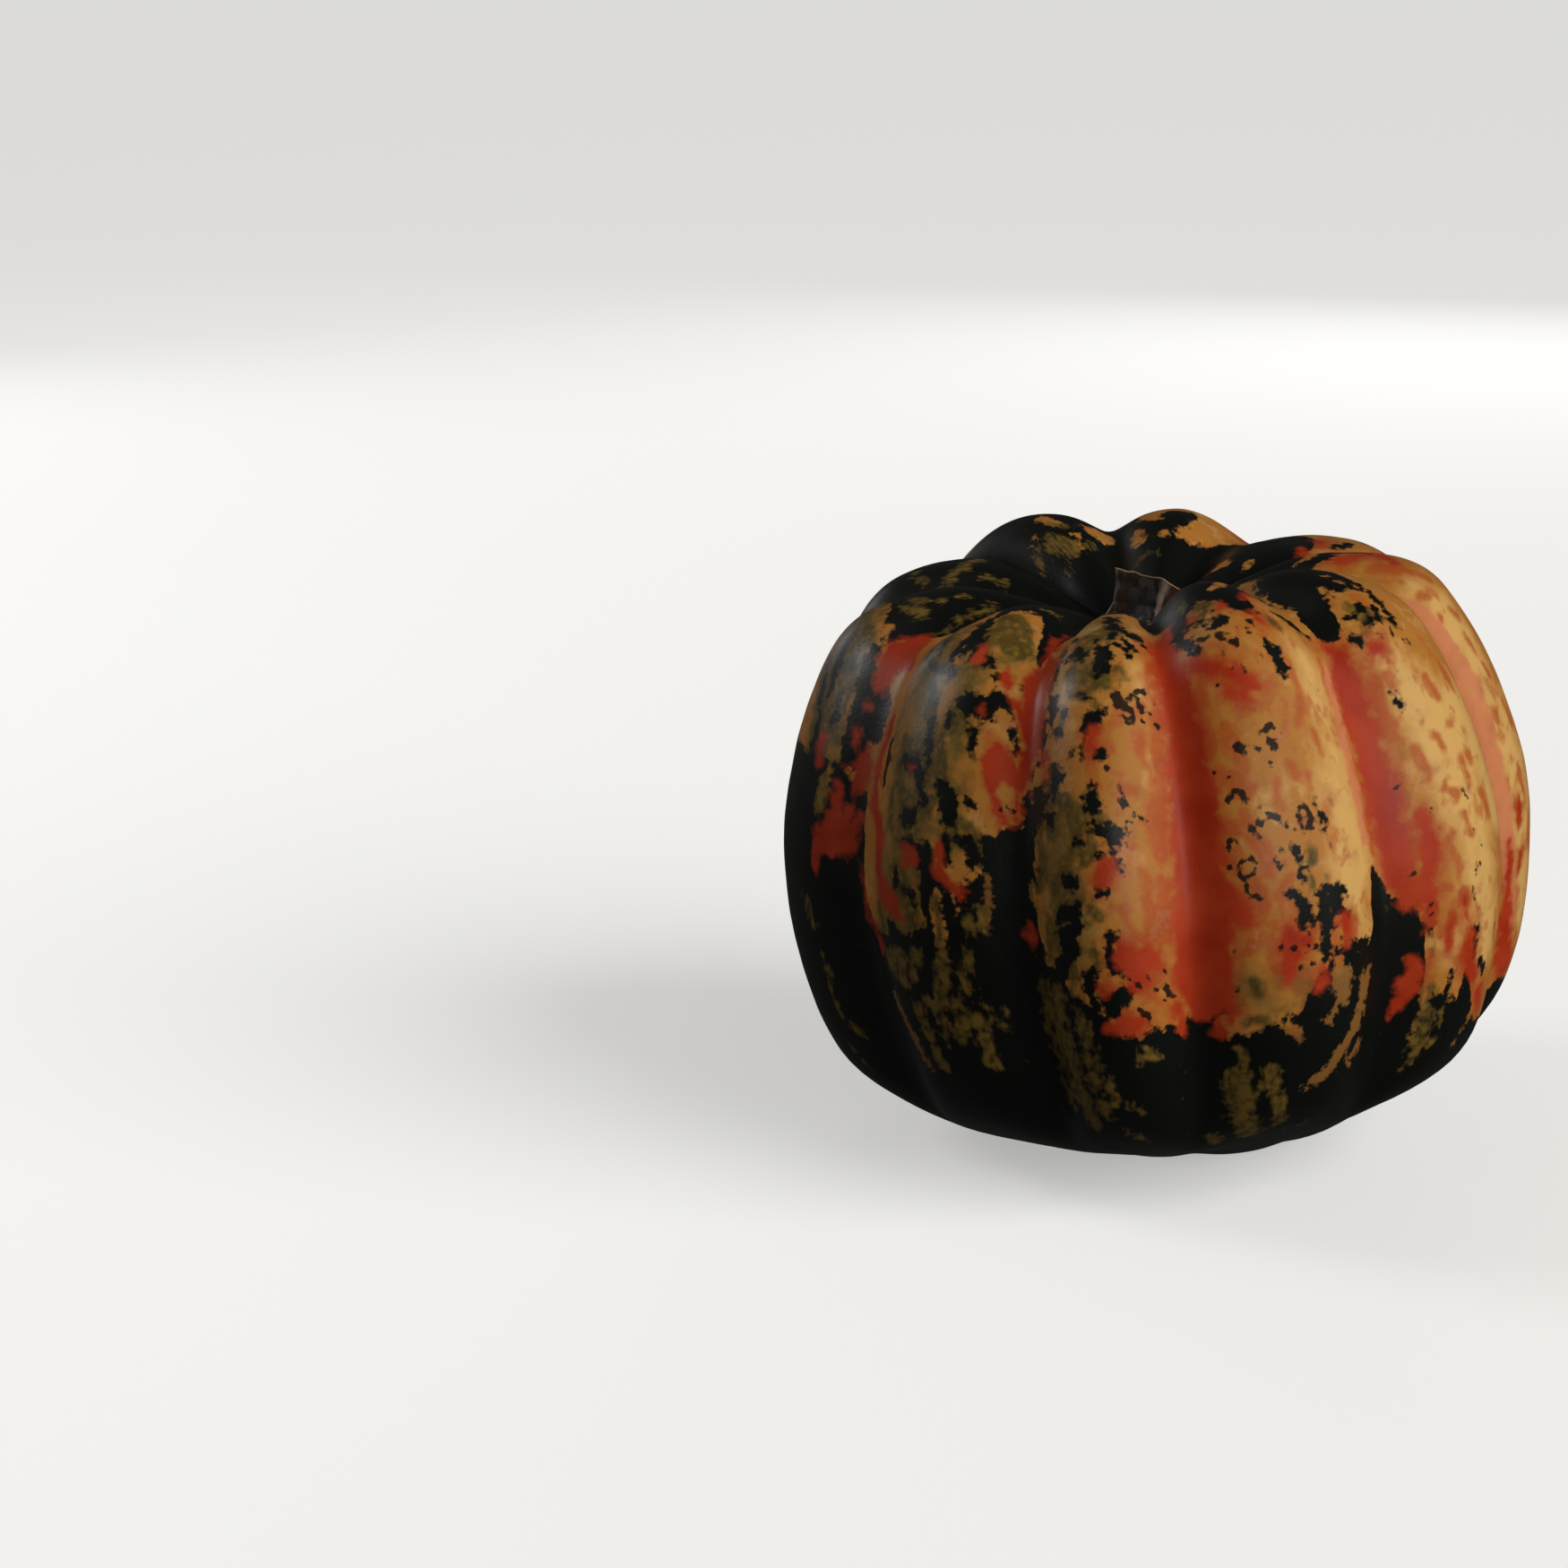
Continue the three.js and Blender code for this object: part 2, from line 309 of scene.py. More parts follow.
        ((86, 38.5, 0.8), (87, 41.5, 1), (84.5, 44, 0.9)), ((76, 30, 1), (82, 34.5, 1.2)),
        ((116, 42, 1.2), (116.5, 47, 1.2)), ((158.5, 31, 1.5), (159, 38, 1.8)),
    ),
    Pigment.BARE: (
        # Far left lobe
        ((-68.8, 50.5, 1.2), (-68, 52.5, 1.4), (-67.6, 54.5, 0.8)), ((-75.5, 49, 1), (-73, 51, 1)),
        ((-68.5, 76.5, 1.5), (-67, 78.5, 1.6), (-67, 80.5, 1)),
        ((-67.5, 83, 1.2), (-68.2, 87, 1.6), (-68.5, 91, 1.2)),
        # Front left lobe
        ((-51, 125.5, 0.5), (-49, 130, 0.8), (-47.8, 134.5, 0.9), (-46.6, 138, 0.8), (-45.6, 143, 0.6)),
        ((-43.6, 138, 0.5), (-42.5, 143, 0.5)),
        ((-30.5, 97.5, 0.6), (-30.3, 101, 0.9), (-31, 104, 1), (-31.5, 108, 0.9)),
        ((-38.5, 103, 1), (-38.3, 108, 1.2), (-38, 111, 1.1), (-37.8, 116, 1)),
        # Narrow front lobe
        ((-22, 86, 1), (-21.8, 90, 1.1), (-21.6, 94, 0.9)), ((-23.7, 96, 0.8), (-23, 99.5, 1.1)),
        # Front right lobe
        ((15, 38.5, 0.7), (18, 36.5, 0.9), (20, 34.5, 0.7)),
        ((20, 49.5, 0.8), (22.5, 47.5, 0.9), (25, 45.5, 0.7)), ((21.5, 45, 1.1), (22.5, 43.5, 1)),
        ((21, 121, 1.4), (21.5, 124, 2.6), (21.5, 127, 2.2), (21.6, 129, 1.2)),
        ((27.8, 121.5, 1), (27, 124.5, 1.6), (26.3, 127.5, 1.4), (25.8, 131, 1.3), (25, 134, 1.3),
         (23.5, 137, 1.3)),
        ((23.5, 137, 1.3), (21.8, 140.3, 1.4), (20.4, 143.5, 1.2), (18, 146.5, 1.4), (16, 148, 1)),
        ((27, 138, 0.5), (25.5, 140.5, 0.8), (24, 143.5, 0.8)), ((19.8, 131, 0.7), (18.7, 133.2, 0.8)),
        ((12.5, 133, 1.2), (14, 135, 1), (14.3, 136.5, 0.6)), ((22.4, 108.3, 0.5),),
        # Right lobe
        ((35, 30, 0.9), (39, 26.5, 1.3), (43.5, 22.5, 1.3)),
        ((36, 29, 0.6), (33.3, 36, 0.6), (32, 47, 0.5)), ((41, 44.5, 1), (41.8, 46, 0.8)),
        ((47.5, 41, 0.9),), ((40, 47, 0.6), (40.3, 49, 0.7)), ((46.8, 44.5, 0.5), (47.4, 48, 0.5)),
        ((39.2, 131, 1.5), (39, 135, 1.1), (38.5, 139, 0.9), (38, 142, 0.7)),
        ((44.3, 129, 1), (44, 133, 0.9), (43.3, 137, 0.8)),
        ((48.8, 134, 1.2), (49.5, 137, 1.2), (49, 140, 0.8)),
        ((50.5, 141, 0.5), (48.5, 146, 0.5), (47, 149.5, 0.5)),
        # Far right lobe and the lobes behind
        ((79, 27.5, 0.8), (85, 31, 1.2)), ((116, 20.5, 1), (119, 22, 1)),
        ((129, 17, 1.2), (132, 20, 1.5)), ((113, 46, 2), (114.5, 52, 2.5)),
        ((119, 44, 1.5), (121, 46.5, 1.5)),
        ((158, 26, 1), (154.5, 28.5, 1.5), (152, 35, 2.3), (151.5, 45, 2.3)), ((162.7, 24, 1),),
        ((172, 23, 1.2), (174.5, 26.5, 1.5)), ((167, 30, 1.2), (171, 33, 1.8)),
        ((-175, 31, 1.8), (-171, 29, 2.2), (-168.5, 27, 1)), ((-166.3, 29, 0.8),),
        ((-162, 22, 0.8), (-161.5, 24.5, 0.8)), ((-158.5, 20.5, 1), (-156.5, 19.5, 1)),
        ((-157, 29, 1), (-155.5, 33, 1.5)), ((-146.5, 29, 0.8),),
    ),
    Pigment.OLIVE: (
        # Far left lobe
        ((-74.5, 46, 1.6), (-72, 44.5, 2.4), (-69, 43, 2.5), (-67.5, 44, 1.8)),
        ((-78, 43, 1.4), (-75, 41, 1.7), (-72, 39.5, 1.2)), ((-71, 37.5, 1.4),),
        ((-71, 34, 1), (-70.5, 31, 0.9)), ((-67.5, 29, 1.2), (-65, 30, 1)),
        ((-64.3, 28, 0.9), (-62, 36, 1.2), (-60.3, 43, 1)),
        ((-69.2, 122, 0.8), (-69, 127, 1.1), (-69.2, 131, 1.3), (-69, 135, 1.4), (-67.6, 138, 1.5),
         (-65.8, 139, 1.3)),
        ((-70, 144, 0.7), (-69, 148, 0.9), (-67.5, 150.5, 0.7)),
        ((-36.5, 30.5, 1), (-34, 28.5, 1.2), (-32, 27, 1.2)),
        ((-80, 52, 3), (-77, 62, 3.5), (-76, 72, 3)), ((-72, 54, 3), (-70, 62, 3.5), (-69, 70, 3)),
        ((-68, 84, 1.5), (-68, 91, 1.8)), ((-71, 112, 1.5), (-70, 117, 1.5)),
        # Front left lobe
        ((-38, 40, 3.5), (-35, 43, 4.5), (-32, 48, 4)), ((-44, 63, 1.8), (-43, 68, 2.4), (-42.5, 75, 2)),
        ((-35, 71.5, 1), (-33.8, 75, 1.3)), ((-48, 73.5, 1.8), (-45.5, 75, 2.2)),
        ((-47.5, 82, 2.4), (-45, 85, 2.8), (-43, 90, 1.8)), ((-49.5, 83, 1.4), (-48, 91, 1.2)),
        ((-40, 72, 1.8), (-39, 80, 2), (-40.3, 88, 1.4)),
        ((-34.5, 88, 2), (-32.5, 90, 1.8), (-32, 95, 1.5)), ((-43.8, 108, 2.2), (-42.5, 111, 1.6)),
        ((-51.5, 106, 1.4), (-51.5, 111, 1.5), (-50.5, 116, 1.5), (-49.5, 121, 1.4)),
        ((-48.5, 115, 2.4), (-46.5, 118, 2.6), (-46, 122, 2.2)),
        ((-38.3, 104, 1.2), (-38, 111, 1.3), (-38.3, 118, 2), (-39.2, 126, 2.4)),
        ((-53, 112, 1.6), (-50, 118, 2.6), (-46, 122, 3), (-43, 117, 2.4)),
        ((-44, 128, 2), (-43.5, 136, 2), (-42, 142, 1.5)), ((-34, 128, 2), (-33.5, 138, 2)),
        ((-43, 126, 1.2), (-40.5, 128, 2.4), (-40, 132, 2.2), (-40, 136, 1)),
        ((-36.5, 125, 1.8), (-36, 130, 2.2), (-37.5, 134, 1.8)), ((-35, 107, 1.4), (-33.5, 109, 1.6)),
        ((-34, 114, 1.4), (-33.8, 117.5, 1.4)), ((-35.5, 119, 1.4), (-35, 122, 1.4)),
        ((-31, 104, 1.4), (-31.5, 108, 1.4)), ((-33.5, 104, 1.4), (-33, 108, 1.6)),
        ((-32.5, 123, 1), (-31.8, 127, 1.3)), ((-30, 124, 0.9), (-30.3, 129, 0.9)),
        # Narrow front lobe
        ((-17.5, 56, 2), (-14.5, 58, 2.8), (-11.5, 59.5, 2.8), (-9, 57, 2.2), (-7.8, 58, 1.3)),
        ((-17.5, 61, 1.6), (-14, 62.5, 1.8)), ((-16, 44.5, 1.4), (-13.5, 47, 1.6)), ((-12.5, 64.3, 1),),
        ((-18, 65, 1.2), (-19, 68.5, 1.2)),
        ((-18.5, 82, 2.4), (-16, 85, 2.8), (-14.5, 90, 2.6), (-17, 94, 2.4)),
        ((-13.5, 82, 1.6), (-12.5, 87, 2)), ((-13, 92, 1.8), (-15, 96, 1.4)),
        ((-22, 86, 1.4), (-21.6, 94, 1.6), (-22.5, 98, 1.4)), ((-19, 97, 1.6), (-19.5, 101, 1.2)),
        ((-14.2, 104, 1.2), (-13, 106, 1.8)), ((-20.8, 104, 1), (-20.8, 108, 1.2), (-21.6, 112, 1.6)),
        ((-14, 111, 1.2), (-13.6, 116, 1.2)), ((-16.8, 114, 0.8), (-17.2, 118, 1.2)),
        ((-23.5, 116, 1.4), (-23, 121, 1.9), (-23.2, 127, 1.9), (-22.5, 133, 1.5), (-22.3, 138, 1.5),
         (-21.8, 143, 1.7), (-20.5, 147, 1.1)),
        ((-20, 119.5, 1.6), (-18.5, 121.5, 1.8), (-17.5, 119, 1.1)), ((-19.5, 126, 1.3), (-19, 130, 1.1)),
        ((-15.6, 127, 1.2), (-15.5, 132, 1.1), (-15.2, 137, 1)),
        ((-8.5, 132.5, 1.5), (-7.5, 134.5, 1.8), (-9.5, 136.5, 1.1)),
        ((-14.5, 141, 1.6), (-13.5, 144.5, 1.6), (-14, 148, 1.1)), ((-11.2, 147.5, 1.3), (-10, 149, 1.2)),
        ((-17.8, 151, 0.9), (-17.5, 155, 0.9)),
        ((-21.5, 118, 2.4), (-21, 126, 2.8), (-20.3, 134, 2.8), (-19.5, 141, 2.6), (-18.5, 148, 2.2),
         (-17, 155, 1.6)),
        ((-17, 122, 1.6), (-16.5, 132, 1.8), (-16, 142, 2), (-15, 150, 1.6)),
        ((-12, 157, 1.6), (-10.5, 160, 1.6)),
        # Front right and right lobes
        ((4.5, 140, 2.4), (6, 148, 2.8), (7, 156, 2.8), (8.5, 163, 2.2)),
        ((10, 142, 2), (11.5, 150, 2), (13, 158, 1.6)), ((1.5, 156, 1.5), (3, 163, 1.8)),
        ((40, 132, 1.6), (39.5, 140, 1.8), (38.5, 148, 1.6)),
        ((6, 38, 1.5), (8.5, 42, 1.8), (11, 44.5, 1.8), (9, 46.5, 1.2)),
        ((21.5, 50.5, 0.9), (22, 53, 1.2), (22.3, 56, 0.8)), ((19.4, 62.5, 0.8),),
        ((17.3, 98.5, 1.6), (17.5, 101, 1.4)), ((17, 103, 1.2), (17.2, 106, 1)), ((19.5, 104, 1.2),),
        ((7.5, 121, 1.4), (8.5, 124.5, 1.4)), ((6.5, 129, 1.4), (9.5, 130.5, 1.6)), ((12.2, 61.8, 0.8),),
        ((17.7, 118, 0.9),), ((5.6, 133, 1.1), (6, 137, 1.3), (6, 141, 1.7), (6.5, 145, 2)),
        ((3.8, 146, 1.2), (3.2, 150, 0.8)), ((8, 148.5, 1.5), (9, 145, 1.4)), ((9, 141.5, 1.3),),
        ((12.6, 152, 0.7), (12.8, 158, 0.7)), ((8, 160, 1.6), (10.5, 161, 1.4)),
        ((15.5, 163, 1.6), (18.5, 162, 1.3)), ((41.5, 52, 1.5), (43, 56, 2), (40.5, 58, 1.5)),
        ((38, 58, 1.3), (39, 60, 1)), ((39.2, 121, 0.9), (39.3, 124, 0.8)),
        ((42.2, 139, 0.8), (41.7, 142, 1)), ((38, 144, 1.4), (41, 145.5, 1.8)), ((36.5, 152, 1.2),),
        # Lobes behind
        ((164, 17, 1.2), (176, 17, 1.5)), ((-155, 20, 2.6), (-150, 25, 2.8)),
        ((-166, 22, 1.2), (-162, 20, 1.3)), ((-160, 27, 1.4), (-155, 30, 1.5)),
        ((-144, 27, 1.6), (-141, 24, 1.3)), ((-147, 17, 1.2),), ((-108.5, 42, 1.5), (-106.5, 41, 1.5)),
        ((-121, 32, 1.8), (-116, 33, 2.5), (-111, 32, 1.5)),
        ((-110.5, 23, 1), (-108.5, 22.5, 1.2), (-109, 27.5, 1.5)), ((-110.5, 34, 1.5), (-106, 35.5, 1.8)),
        ((-113, 44.5, 1.3), (-111, 44, 1.3)),
    ),
    # Darker greenish ground, mostly on the left lobes away from the light: partly real tint, partly painted
    # shade.
    Pigment.KHAKI_AND_SHADE: (
        ((-84, 48, 7), (-76, 60, 10), (-71, 76, 8)),
        ((-50, 48, 5), (-46, 60, 7), (-45, 85, 9), (-47, 112, 9)),
        ((-37, 44, 4), (-38, 80, 4), (-36, 92, 4)),
        ((-13, 36, 3.5), (-12, 43, 4), (-15, 50, 3), (-15, 57, 4)),
        ((-20.5, 78, 2), (-19, 90, 5.5), (-18, 112, 5)), ((8, 121, 3), (10, 129, 4)),
        ((13, 121, 2.5), (15, 127, 2.5)), ((-31, 47, 4), (-32, 53, 2.5)),
    ),
    # Paler cream, mostly down the lobes on the right: partly real cream, partly painted light where they
    # face the light.
    Pigment.PALE_AND_LIT: (
        ((24, 57, 2), (25.5, 70, 4), (25, 85, 5), (24.5, 100, 5), (25.5, 112, 3.5)), ((27.5, 113.5, 2),),
        ((20.8, 125, 1.5),),
        ((41, 62, 3), (44.5, 74, 5.5), (47, 88, 7), (48, 102, 7), (49.5, 118, 5), (50, 130, 3)),
        ((39.3, 121, 1), (43.5, 126, 1.5)),
        ((73.5, 54, 3), (75, 66, 5), (75.5, 82, 6), (75.5, 98, 6), (76, 114, 5), (77.5, 132, 4)),
        ((-4.5, 56, 1.5), (-4.3, 62, 1.5)), ((-3.6, 75, 0.8), (-3.4, 78, 0.8)),
        ((-19, 55, 0.8), (-18.8, 60, 0.8)), ((-16, 40, 2),), ((53, 80, 6), (56, 100, 5)),
        ((-9, 94, 1.5),),
    ),
    Pigment.ORANGE: (
        # Furrow between the far left and front left lobes
        ((-60.3, 46.5, 1), (-61.2, 50.5, 2.4), (-62.3, 54, 3.2), (-62.8, 57.5, 2.6), (-62, 61, 1.6)),
        ((-60.3, 52.5, 2.4), (-59.3, 55, 2)), ((-63.3, 66.5, 0.9),), ((-63.9, 72, 0.7), (-63.6, 75, 0.9)),
        ((-70.8, 77.5, 1), (-70.2, 81, 1.3), (-70, 83, 0.9)),
        ((-60.5, 75, 1.2), (-61, 78, 2), (-61.5, 81.5, 1.6), (-62, 84, 0.7)), ((-63.3, 81, 0.9),),
        ((-64.5, 85, 1.4), (-65, 88, 2), (-65, 91.5, 2.2), (-66, 95, 2.4)),
        ((-62.5, 88, 1.3), (-63, 91, 1.3), (-64.3, 94.5, 2.4)),
        ((-59.8, 88.5, 1), (-61, 91, 1.6), (-62.5, 95, 2.2)),
        ((-67.5, 95, 1.2), (-67.5, 99, 1.6), (-68, 103, 1)),
        ((-67.5, 98.5, 1.6), (-65, 97, 1.6), (-62.5, 96.5, 1.6)),
        ((-55.5, 67, 0.6), (-56, 70, 1.4), (-56.8, 74, 1.5), (-57.6, 78, 1), (-57.5, 81, 1),
         (-57, 85, 1.4), (-55, 87.5, 1.6)),
        ((-55, 87.5, 1.6), (-53, 89.5, 1.8), (-51.8, 93, 2.4), (-51.7, 98, 2), (-51, 102, 2),
         (-49, 104.8, 2.2), (-47, 107, 1.8)),
        ((-47, 107, 1.8), (-45.3, 110, 0.7)), ((-58.5, 98, 0.5), (-58.2, 104, 0.6), (-57.5, 108, 0.5)),
        ((-56.5, 108, 0.7), (-55, 112, 1.2), (-53.2, 114.5, 1)),
        # Front left lobe
        ((-44.6, 95.8, 1.2), (-42.8, 95.8, 1.1), (-43, 98, 1), (-44.4, 97.8, 1.3)),
        ((-37, 51.5, 0.8), (-37.3, 54, 1.3)),
        ((-38, 93.5, 0.8), (-37.8, 96.5, 1), (-37.5, 99, 1.2), (-36.3, 100.5, 1.3), (-35, 102, 1.1)),
        ((-33.7, 65.3, 0.7),), ((-31, 54.5, 0.6), (-30.3, 56.5, 1), (-29.6, 58.2, 0.8)),
        ((-45, 79, 0.8),),
        # Furrow between the front left and narrow front lobes
        ((-26.3, 33, 0.6), (-26.4, 38, 0.7), (-25.8, 43, 0.9), (-24.2, 48, 1.4), (-24, 51.5, 2.6),
         (-24.4, 56, 3.2), (-24.7, 61, 2.8)),
        ((-24.7, 61, 2.8), (-24.6, 66, 2.5), (-25, 70, 2.2), (-25.6, 74, 1.8), (-25.8, 78, 1.3)),
        ((-28.6, 60.6, 0.7), (-27.6, 61.8, 1.2), (-26.5, 63, 1.4)),
        ((-30.4, 71, 1.8), (-30.8, 74, 2.2), (-30.6, 77.5, 2)),
        ((-30.6, 77.5, 2), (-30, 81, 1.2), (-29, 84, 1.5), (-28, 85.3, 1.1)),
        ((-29, 74.5, 2.8), (-27.5, 75.5, 2.4)), ((-26.4, 76, 1.2), (-26.3, 80, 0.9), (-26.8, 83.5, 1.1)),
        ((-21.6, 72.5, 0.6), (-21, 76, 0.7)), ((-24.6, 104.8, 1), (-24.4, 107, 1.2)),
        # Narrow front lobe
        ((-12.6, 69.8, 1.1), (-13.2, 71.3, 1.5), (-13.8, 73, 1.1)),
        ((-10.6, 94, 0.8), (-11.3, 96, 1.4), (-12.3, 98, 1.2), (-12.6, 99.8, 0.8)),
        ((-10.2, 112, 0.9), (-10, 114.5, 1.8), (-8.5, 114, 2.6), (-6.8, 113.5, 2.4)),
        ((-8.5, 115, 2.2), (-8.2, 118, 2), (-9, 120.5, 1)), ((-13.6, 119.5, 0.7), (-13, 121.5, 0.9)),
        ((-12.6, 129, 1.3), (-11, 129.2, 2.2), (-9.3, 128.3, 1.8), (-8.3, 127.5, 0.9)),
        # Furrow between the narrow front and front right lobes
        ((1.6, 40.5, 0.6), (0.6, 44, 1.4), (-0.4, 48, 2.2), (0, 53, 2.6), (0.8, 58, 3), (1.3, 64, 3.2),
         (1.5, 70, 3.4), (1.6, 76, 3.8)),
        ((1.6, 76, 3.8), (1.7, 82, 4.2), (1.5, 90, 4.7), (1.7, 97, 4.7), (1.8, 104, 5.6), (1.2, 110, 5.4),
         (1.1, 116, 5.5), (1.3, 121, 5)),
        ((-3, 45, 0.7), (-2.2, 48, 1.3), (-1.4, 51.5, 1.4)),
        ((5, 57.5, 1), (8, 60, 1.1), (10.5, 62.5, 1.5), (12.5, 65.3, 1.8), (13.8, 66.5, 1)),
        ((10, 66, 1), (12, 67, 1.3)), ((5, 103, 1.5), (6.6, 107, 1.8), (7.8, 109, 1)),
        ((-3.2, 122, 0.9), (-3, 125, 0.8), (-3, 127.5, 0.8)),
        ((2.5, 125.5, 0.6), (3, 128.5, 1.2), (3.6, 130.5, 0.9)),
        ((4.6, 123, 1), (4.8, 126, 0.9), (5, 128, 0.7)),
        # Front right lobe
        ((13.2, 112, 1), (13.3, 114.5, 1.7), (13.5, 117, 2.2), (13, 119.5, 1.6), (12.4, 122.5, 1)),
        ((15, 116, 1.2), (16, 115.5, 0.7)),
        ((20.8, 113, 0.9), (22, 112, 1.3), (22.3, 114.5, 0.9), (22.2, 117.5, 0.8)),
        ((18.6, 122.7, 0.8), (18.2, 124.5, 1.3), (17.3, 126.3, 1)),
        ((19, 45, 0.7), (20.5, 43.5, 1.2), (22, 42, 0.9)), ((5, 46.6, 0.5), (5.8, 46, 0.5)),
        ((13.2, 46.3, 0.8),), ((18.5, 50.5, 0.5), (18.9, 53, 0.5)),
        # Furrow between the front right and right lobes
        ((33, 57.5, 1), (34.3, 59.5, 1.8), (33.6, 64, 2.6), (33.3, 70, 2.8), (33.2, 76, 2.9),
         (33.3, 82, 3), (33.5, 88, 3.2)),
        ((33.5, 88, 3.2), (33.8, 94, 3.4), (34.2, 100, 3.3), (34.8, 105, 2.8), (36, 109.5, 2.2),
         (37.5, 113, 1.5)),
        ((40.5, 62.3, 1.5),),
        ((38.8, 95.5, 0.8), (39, 98.5, 1.6), (39.5, 102, 2), (39, 106, 2.1), (38, 110, 2.2),
         (38.8, 114, 1.8), (39.2, 117.5, 1.1)),
        ((36.2, 123.5, 1.5), (36.6, 126, 2.2), (36, 129, 2.3), (35, 131.5, 1.2), (34.6, 133, 0.7)),
        # Right lobe
        ((46, 124, 0.8), (46, 127, 1), (46.3, 130, 1.5), (47, 133, 1.3), (48, 134.5, 0.8)),
        ((50.5, 138, 0.9), (51, 141, 0.9), (52, 143.5, 0.6)),
        ((45, 117, 0.6), (45.2, 121, 0.5), (45.2, 125, 0.7), (45.2, 129, 1)),
        ((42.3, 119, 0.8), (42.1, 122, 0.6), (42, 124.5, 0.5)),
        # Furrow between the right and far right lobes, and flecks beyond it
        ((71.3, 112, 0.8), (71.8, 118, 1.4), (72.2, 124, 1.8), (72.6, 130, 2), (73.5, 136, 2)),
        ((73.5, 136, 2.4), (75, 141, 2.2), (76.5, 143, 1.5)),
        ((77, 36, 1), (80, 38, 1.4), (84, 41.5, 1.4)),
        ((85.5, 44.5, 1), (82.5, 46.5, 1.4), (80, 48, 1.1)), ((74.8, 106, 0.9), (74.6, 109, 1)),
        ((75, 117, 0.7), (75, 120, 0.7)),
        # Behind on the right
        ((113, 32.5, 1.3), (116.5, 33.5, 1.2)), ((117, 38.5, 0.9), (122, 40.5, 0.9)),
    ),
    # Salmon edges of two furrows, where their walls face the light: partly orange flush, partly painted
    # sheen.
    Pigment.ROSE_AND_SHEEN: (
        ((69, 56, 2.4), (69.8, 68, 3.4), (70.2, 78, 4), (70.2, 88, 3.2), (70.4, 98, 3), (70.8, 108, 2.6),
         (72, 118, 2.2), (74, 130, 1.8)),
        ((30.5, 60, 0.8), (29.4, 68, 1.3), (28.8, 78, 1.6), (28.6, 86, 1.6), (28.6, 96, 1.2)),
    ),
    Pigment.FLUSH: (
        ((12, 119, 2.5), (15, 125, 2.5)), ((8, 114, 1.5),),
        ((7.5, 71, 1.2), (8.5, 76, 1.4), (9.5, 81, 1.2)), ((8.5, 88, 1.2), (9.5, 93, 1)),
        ((9, 102, 1.4), (10, 107, 1.6), (9, 111, 1.2)), ((14, 85, 1), (14, 90, 0.8)),
        ((-6, 70, 1), (-5.5, 75, 1.2)), ((-6.5, 97, 1.2), (-6, 103, 1.4), (-6.5, 109, 1.4)),
        ((-4, 98, 1.6), (-4.2, 108, 1.8)), ((-9.5, 104, 1), (-9.2, 107, 1)),
        ((40, 68, 1), (40.5, 71, 0.9)), ((44.5, 83, 1.2), (45.5, 86, 1)),
        ((47.5, 72, 1), (48.5, 77, 0.9)), ((52, 97, 1), (52.8, 102, 1.2)),
        ((46.5, 100, 0.9), (46.8, 104, 1)), ((49, 89, 0.8), (49.5, 93, 0.9)),
        ((44, 108, 0.9), (44.3, 112, 0.8)), ((53, 70, 1.2), (54, 76, 1)),
        ((22, 76, 0.8), (22.5, 80, 0.7)), ((19, 84, 0.8), (19.3, 87, 0.7)),
        ((78, 50, 1.2), (79.5, 56, 1.4)), ((76.5, 70, 1), (77, 74, 0.9)),
        ((79, 86, 1.2), (79.5, 92, 1.2)), ((77, 100, 1), (77.5, 106, 1.1)),
        ((79, 112, 1.2), (80, 120, 1.2)),
        ((-2.6, 52, 1.2), (-2.6, 58, 1.2), (-2.8, 64, 1.5), (-3, 70, 1.6), (-3, 76, 1.5), (-3.8, 82, 2),
         (-4.2, 88, 2.2), (-4, 93, 1.8)),
        ((4.6, 58, 1.5), (4.6, 66, 1.4), (5, 72, 1.4), (5.5, 78, 1.8), (7.5, 83, 2.2), (9.5, 85, 1.8)),
        ((6, 88, 1.6), (7, 91, 1.5)), ((9.5, 94, 1.4), (11, 97, 1.6), (11, 101, 1.5)),
        ((6, 102, 1.5), (7, 107, 2.4), (8.5, 109.5, 1)), ((5, 57, 2), (8.5, 60.5, 2.2), (12, 65.5, 2.8)),
        ((-9, 65.5, 0.8), (-7, 65.3, 1), (-5, 63.5, 1.2)), ((-8.8, 81, 0.9), (-7.4, 81, 1)),
        ((-13, 71.5, 2),), ((-7.5, 91.5, 1),), ((-10.5, 95, 1), (-12, 98, 1.6)),
        ((-9, 112, 2), (-7, 114, 3), (-8, 119, 2.5), (-5.5, 122, 1.5)),
        ((-12.5, 119, 1.5), (-10.5, 126.5, 2)),
        ((20.6, 61, 0.8), (21.4, 66, 1.2), (21, 70, 0.8), (19.9, 74, 0.9)),
        ((16.5, 82, 1.2), (17.2, 84, 1.2)), ((17.8, 56, 0.8),), ((17, 92.3, 0.9),),
        ((29.6, 60, 1), (29.3, 70, 1.2), (29.3, 80, 1.5), (29.2, 90, 1.6), (30, 98, 1.3)),
        ((12, 105.5, 1.5), (14, 103, 1)), ((13.5, 118, 3.2),),
        ((36.8, 87, 1.2), (37, 92, 1), (36.5, 96, 1)), ((40.6, 84, 1.4), (41.6, 90, 1)),
        ((51.4, 90, 1.4),), ((49, 82.5, 0.9),), ((37.5, 68, 2), (37.5, 78, 2)),
        ((43.5, 93, 1), (46, 95.5, 1.2)), ((43, 103, 1.3),), ((42.3, 112.7, 1.1),), ((50.3, 124, 0.9),),
        ((51.2, 115, 1),), ((54, 111, 0.7),), ((53.5, 122, 0.6), (53.9, 128, 0.8)), ((48, 119.8, 0.7),),
        ((44.8, 114.5, 0.9),), ((46.2, 128, 2),), ((42.5, 119, 1.4), (42, 124, 1.2)),
        ((73, 55.5, 1.2), (74.5, 57, 1)), ((73, 61.5, 1),), ((73.5, 50.5, 0.8),),
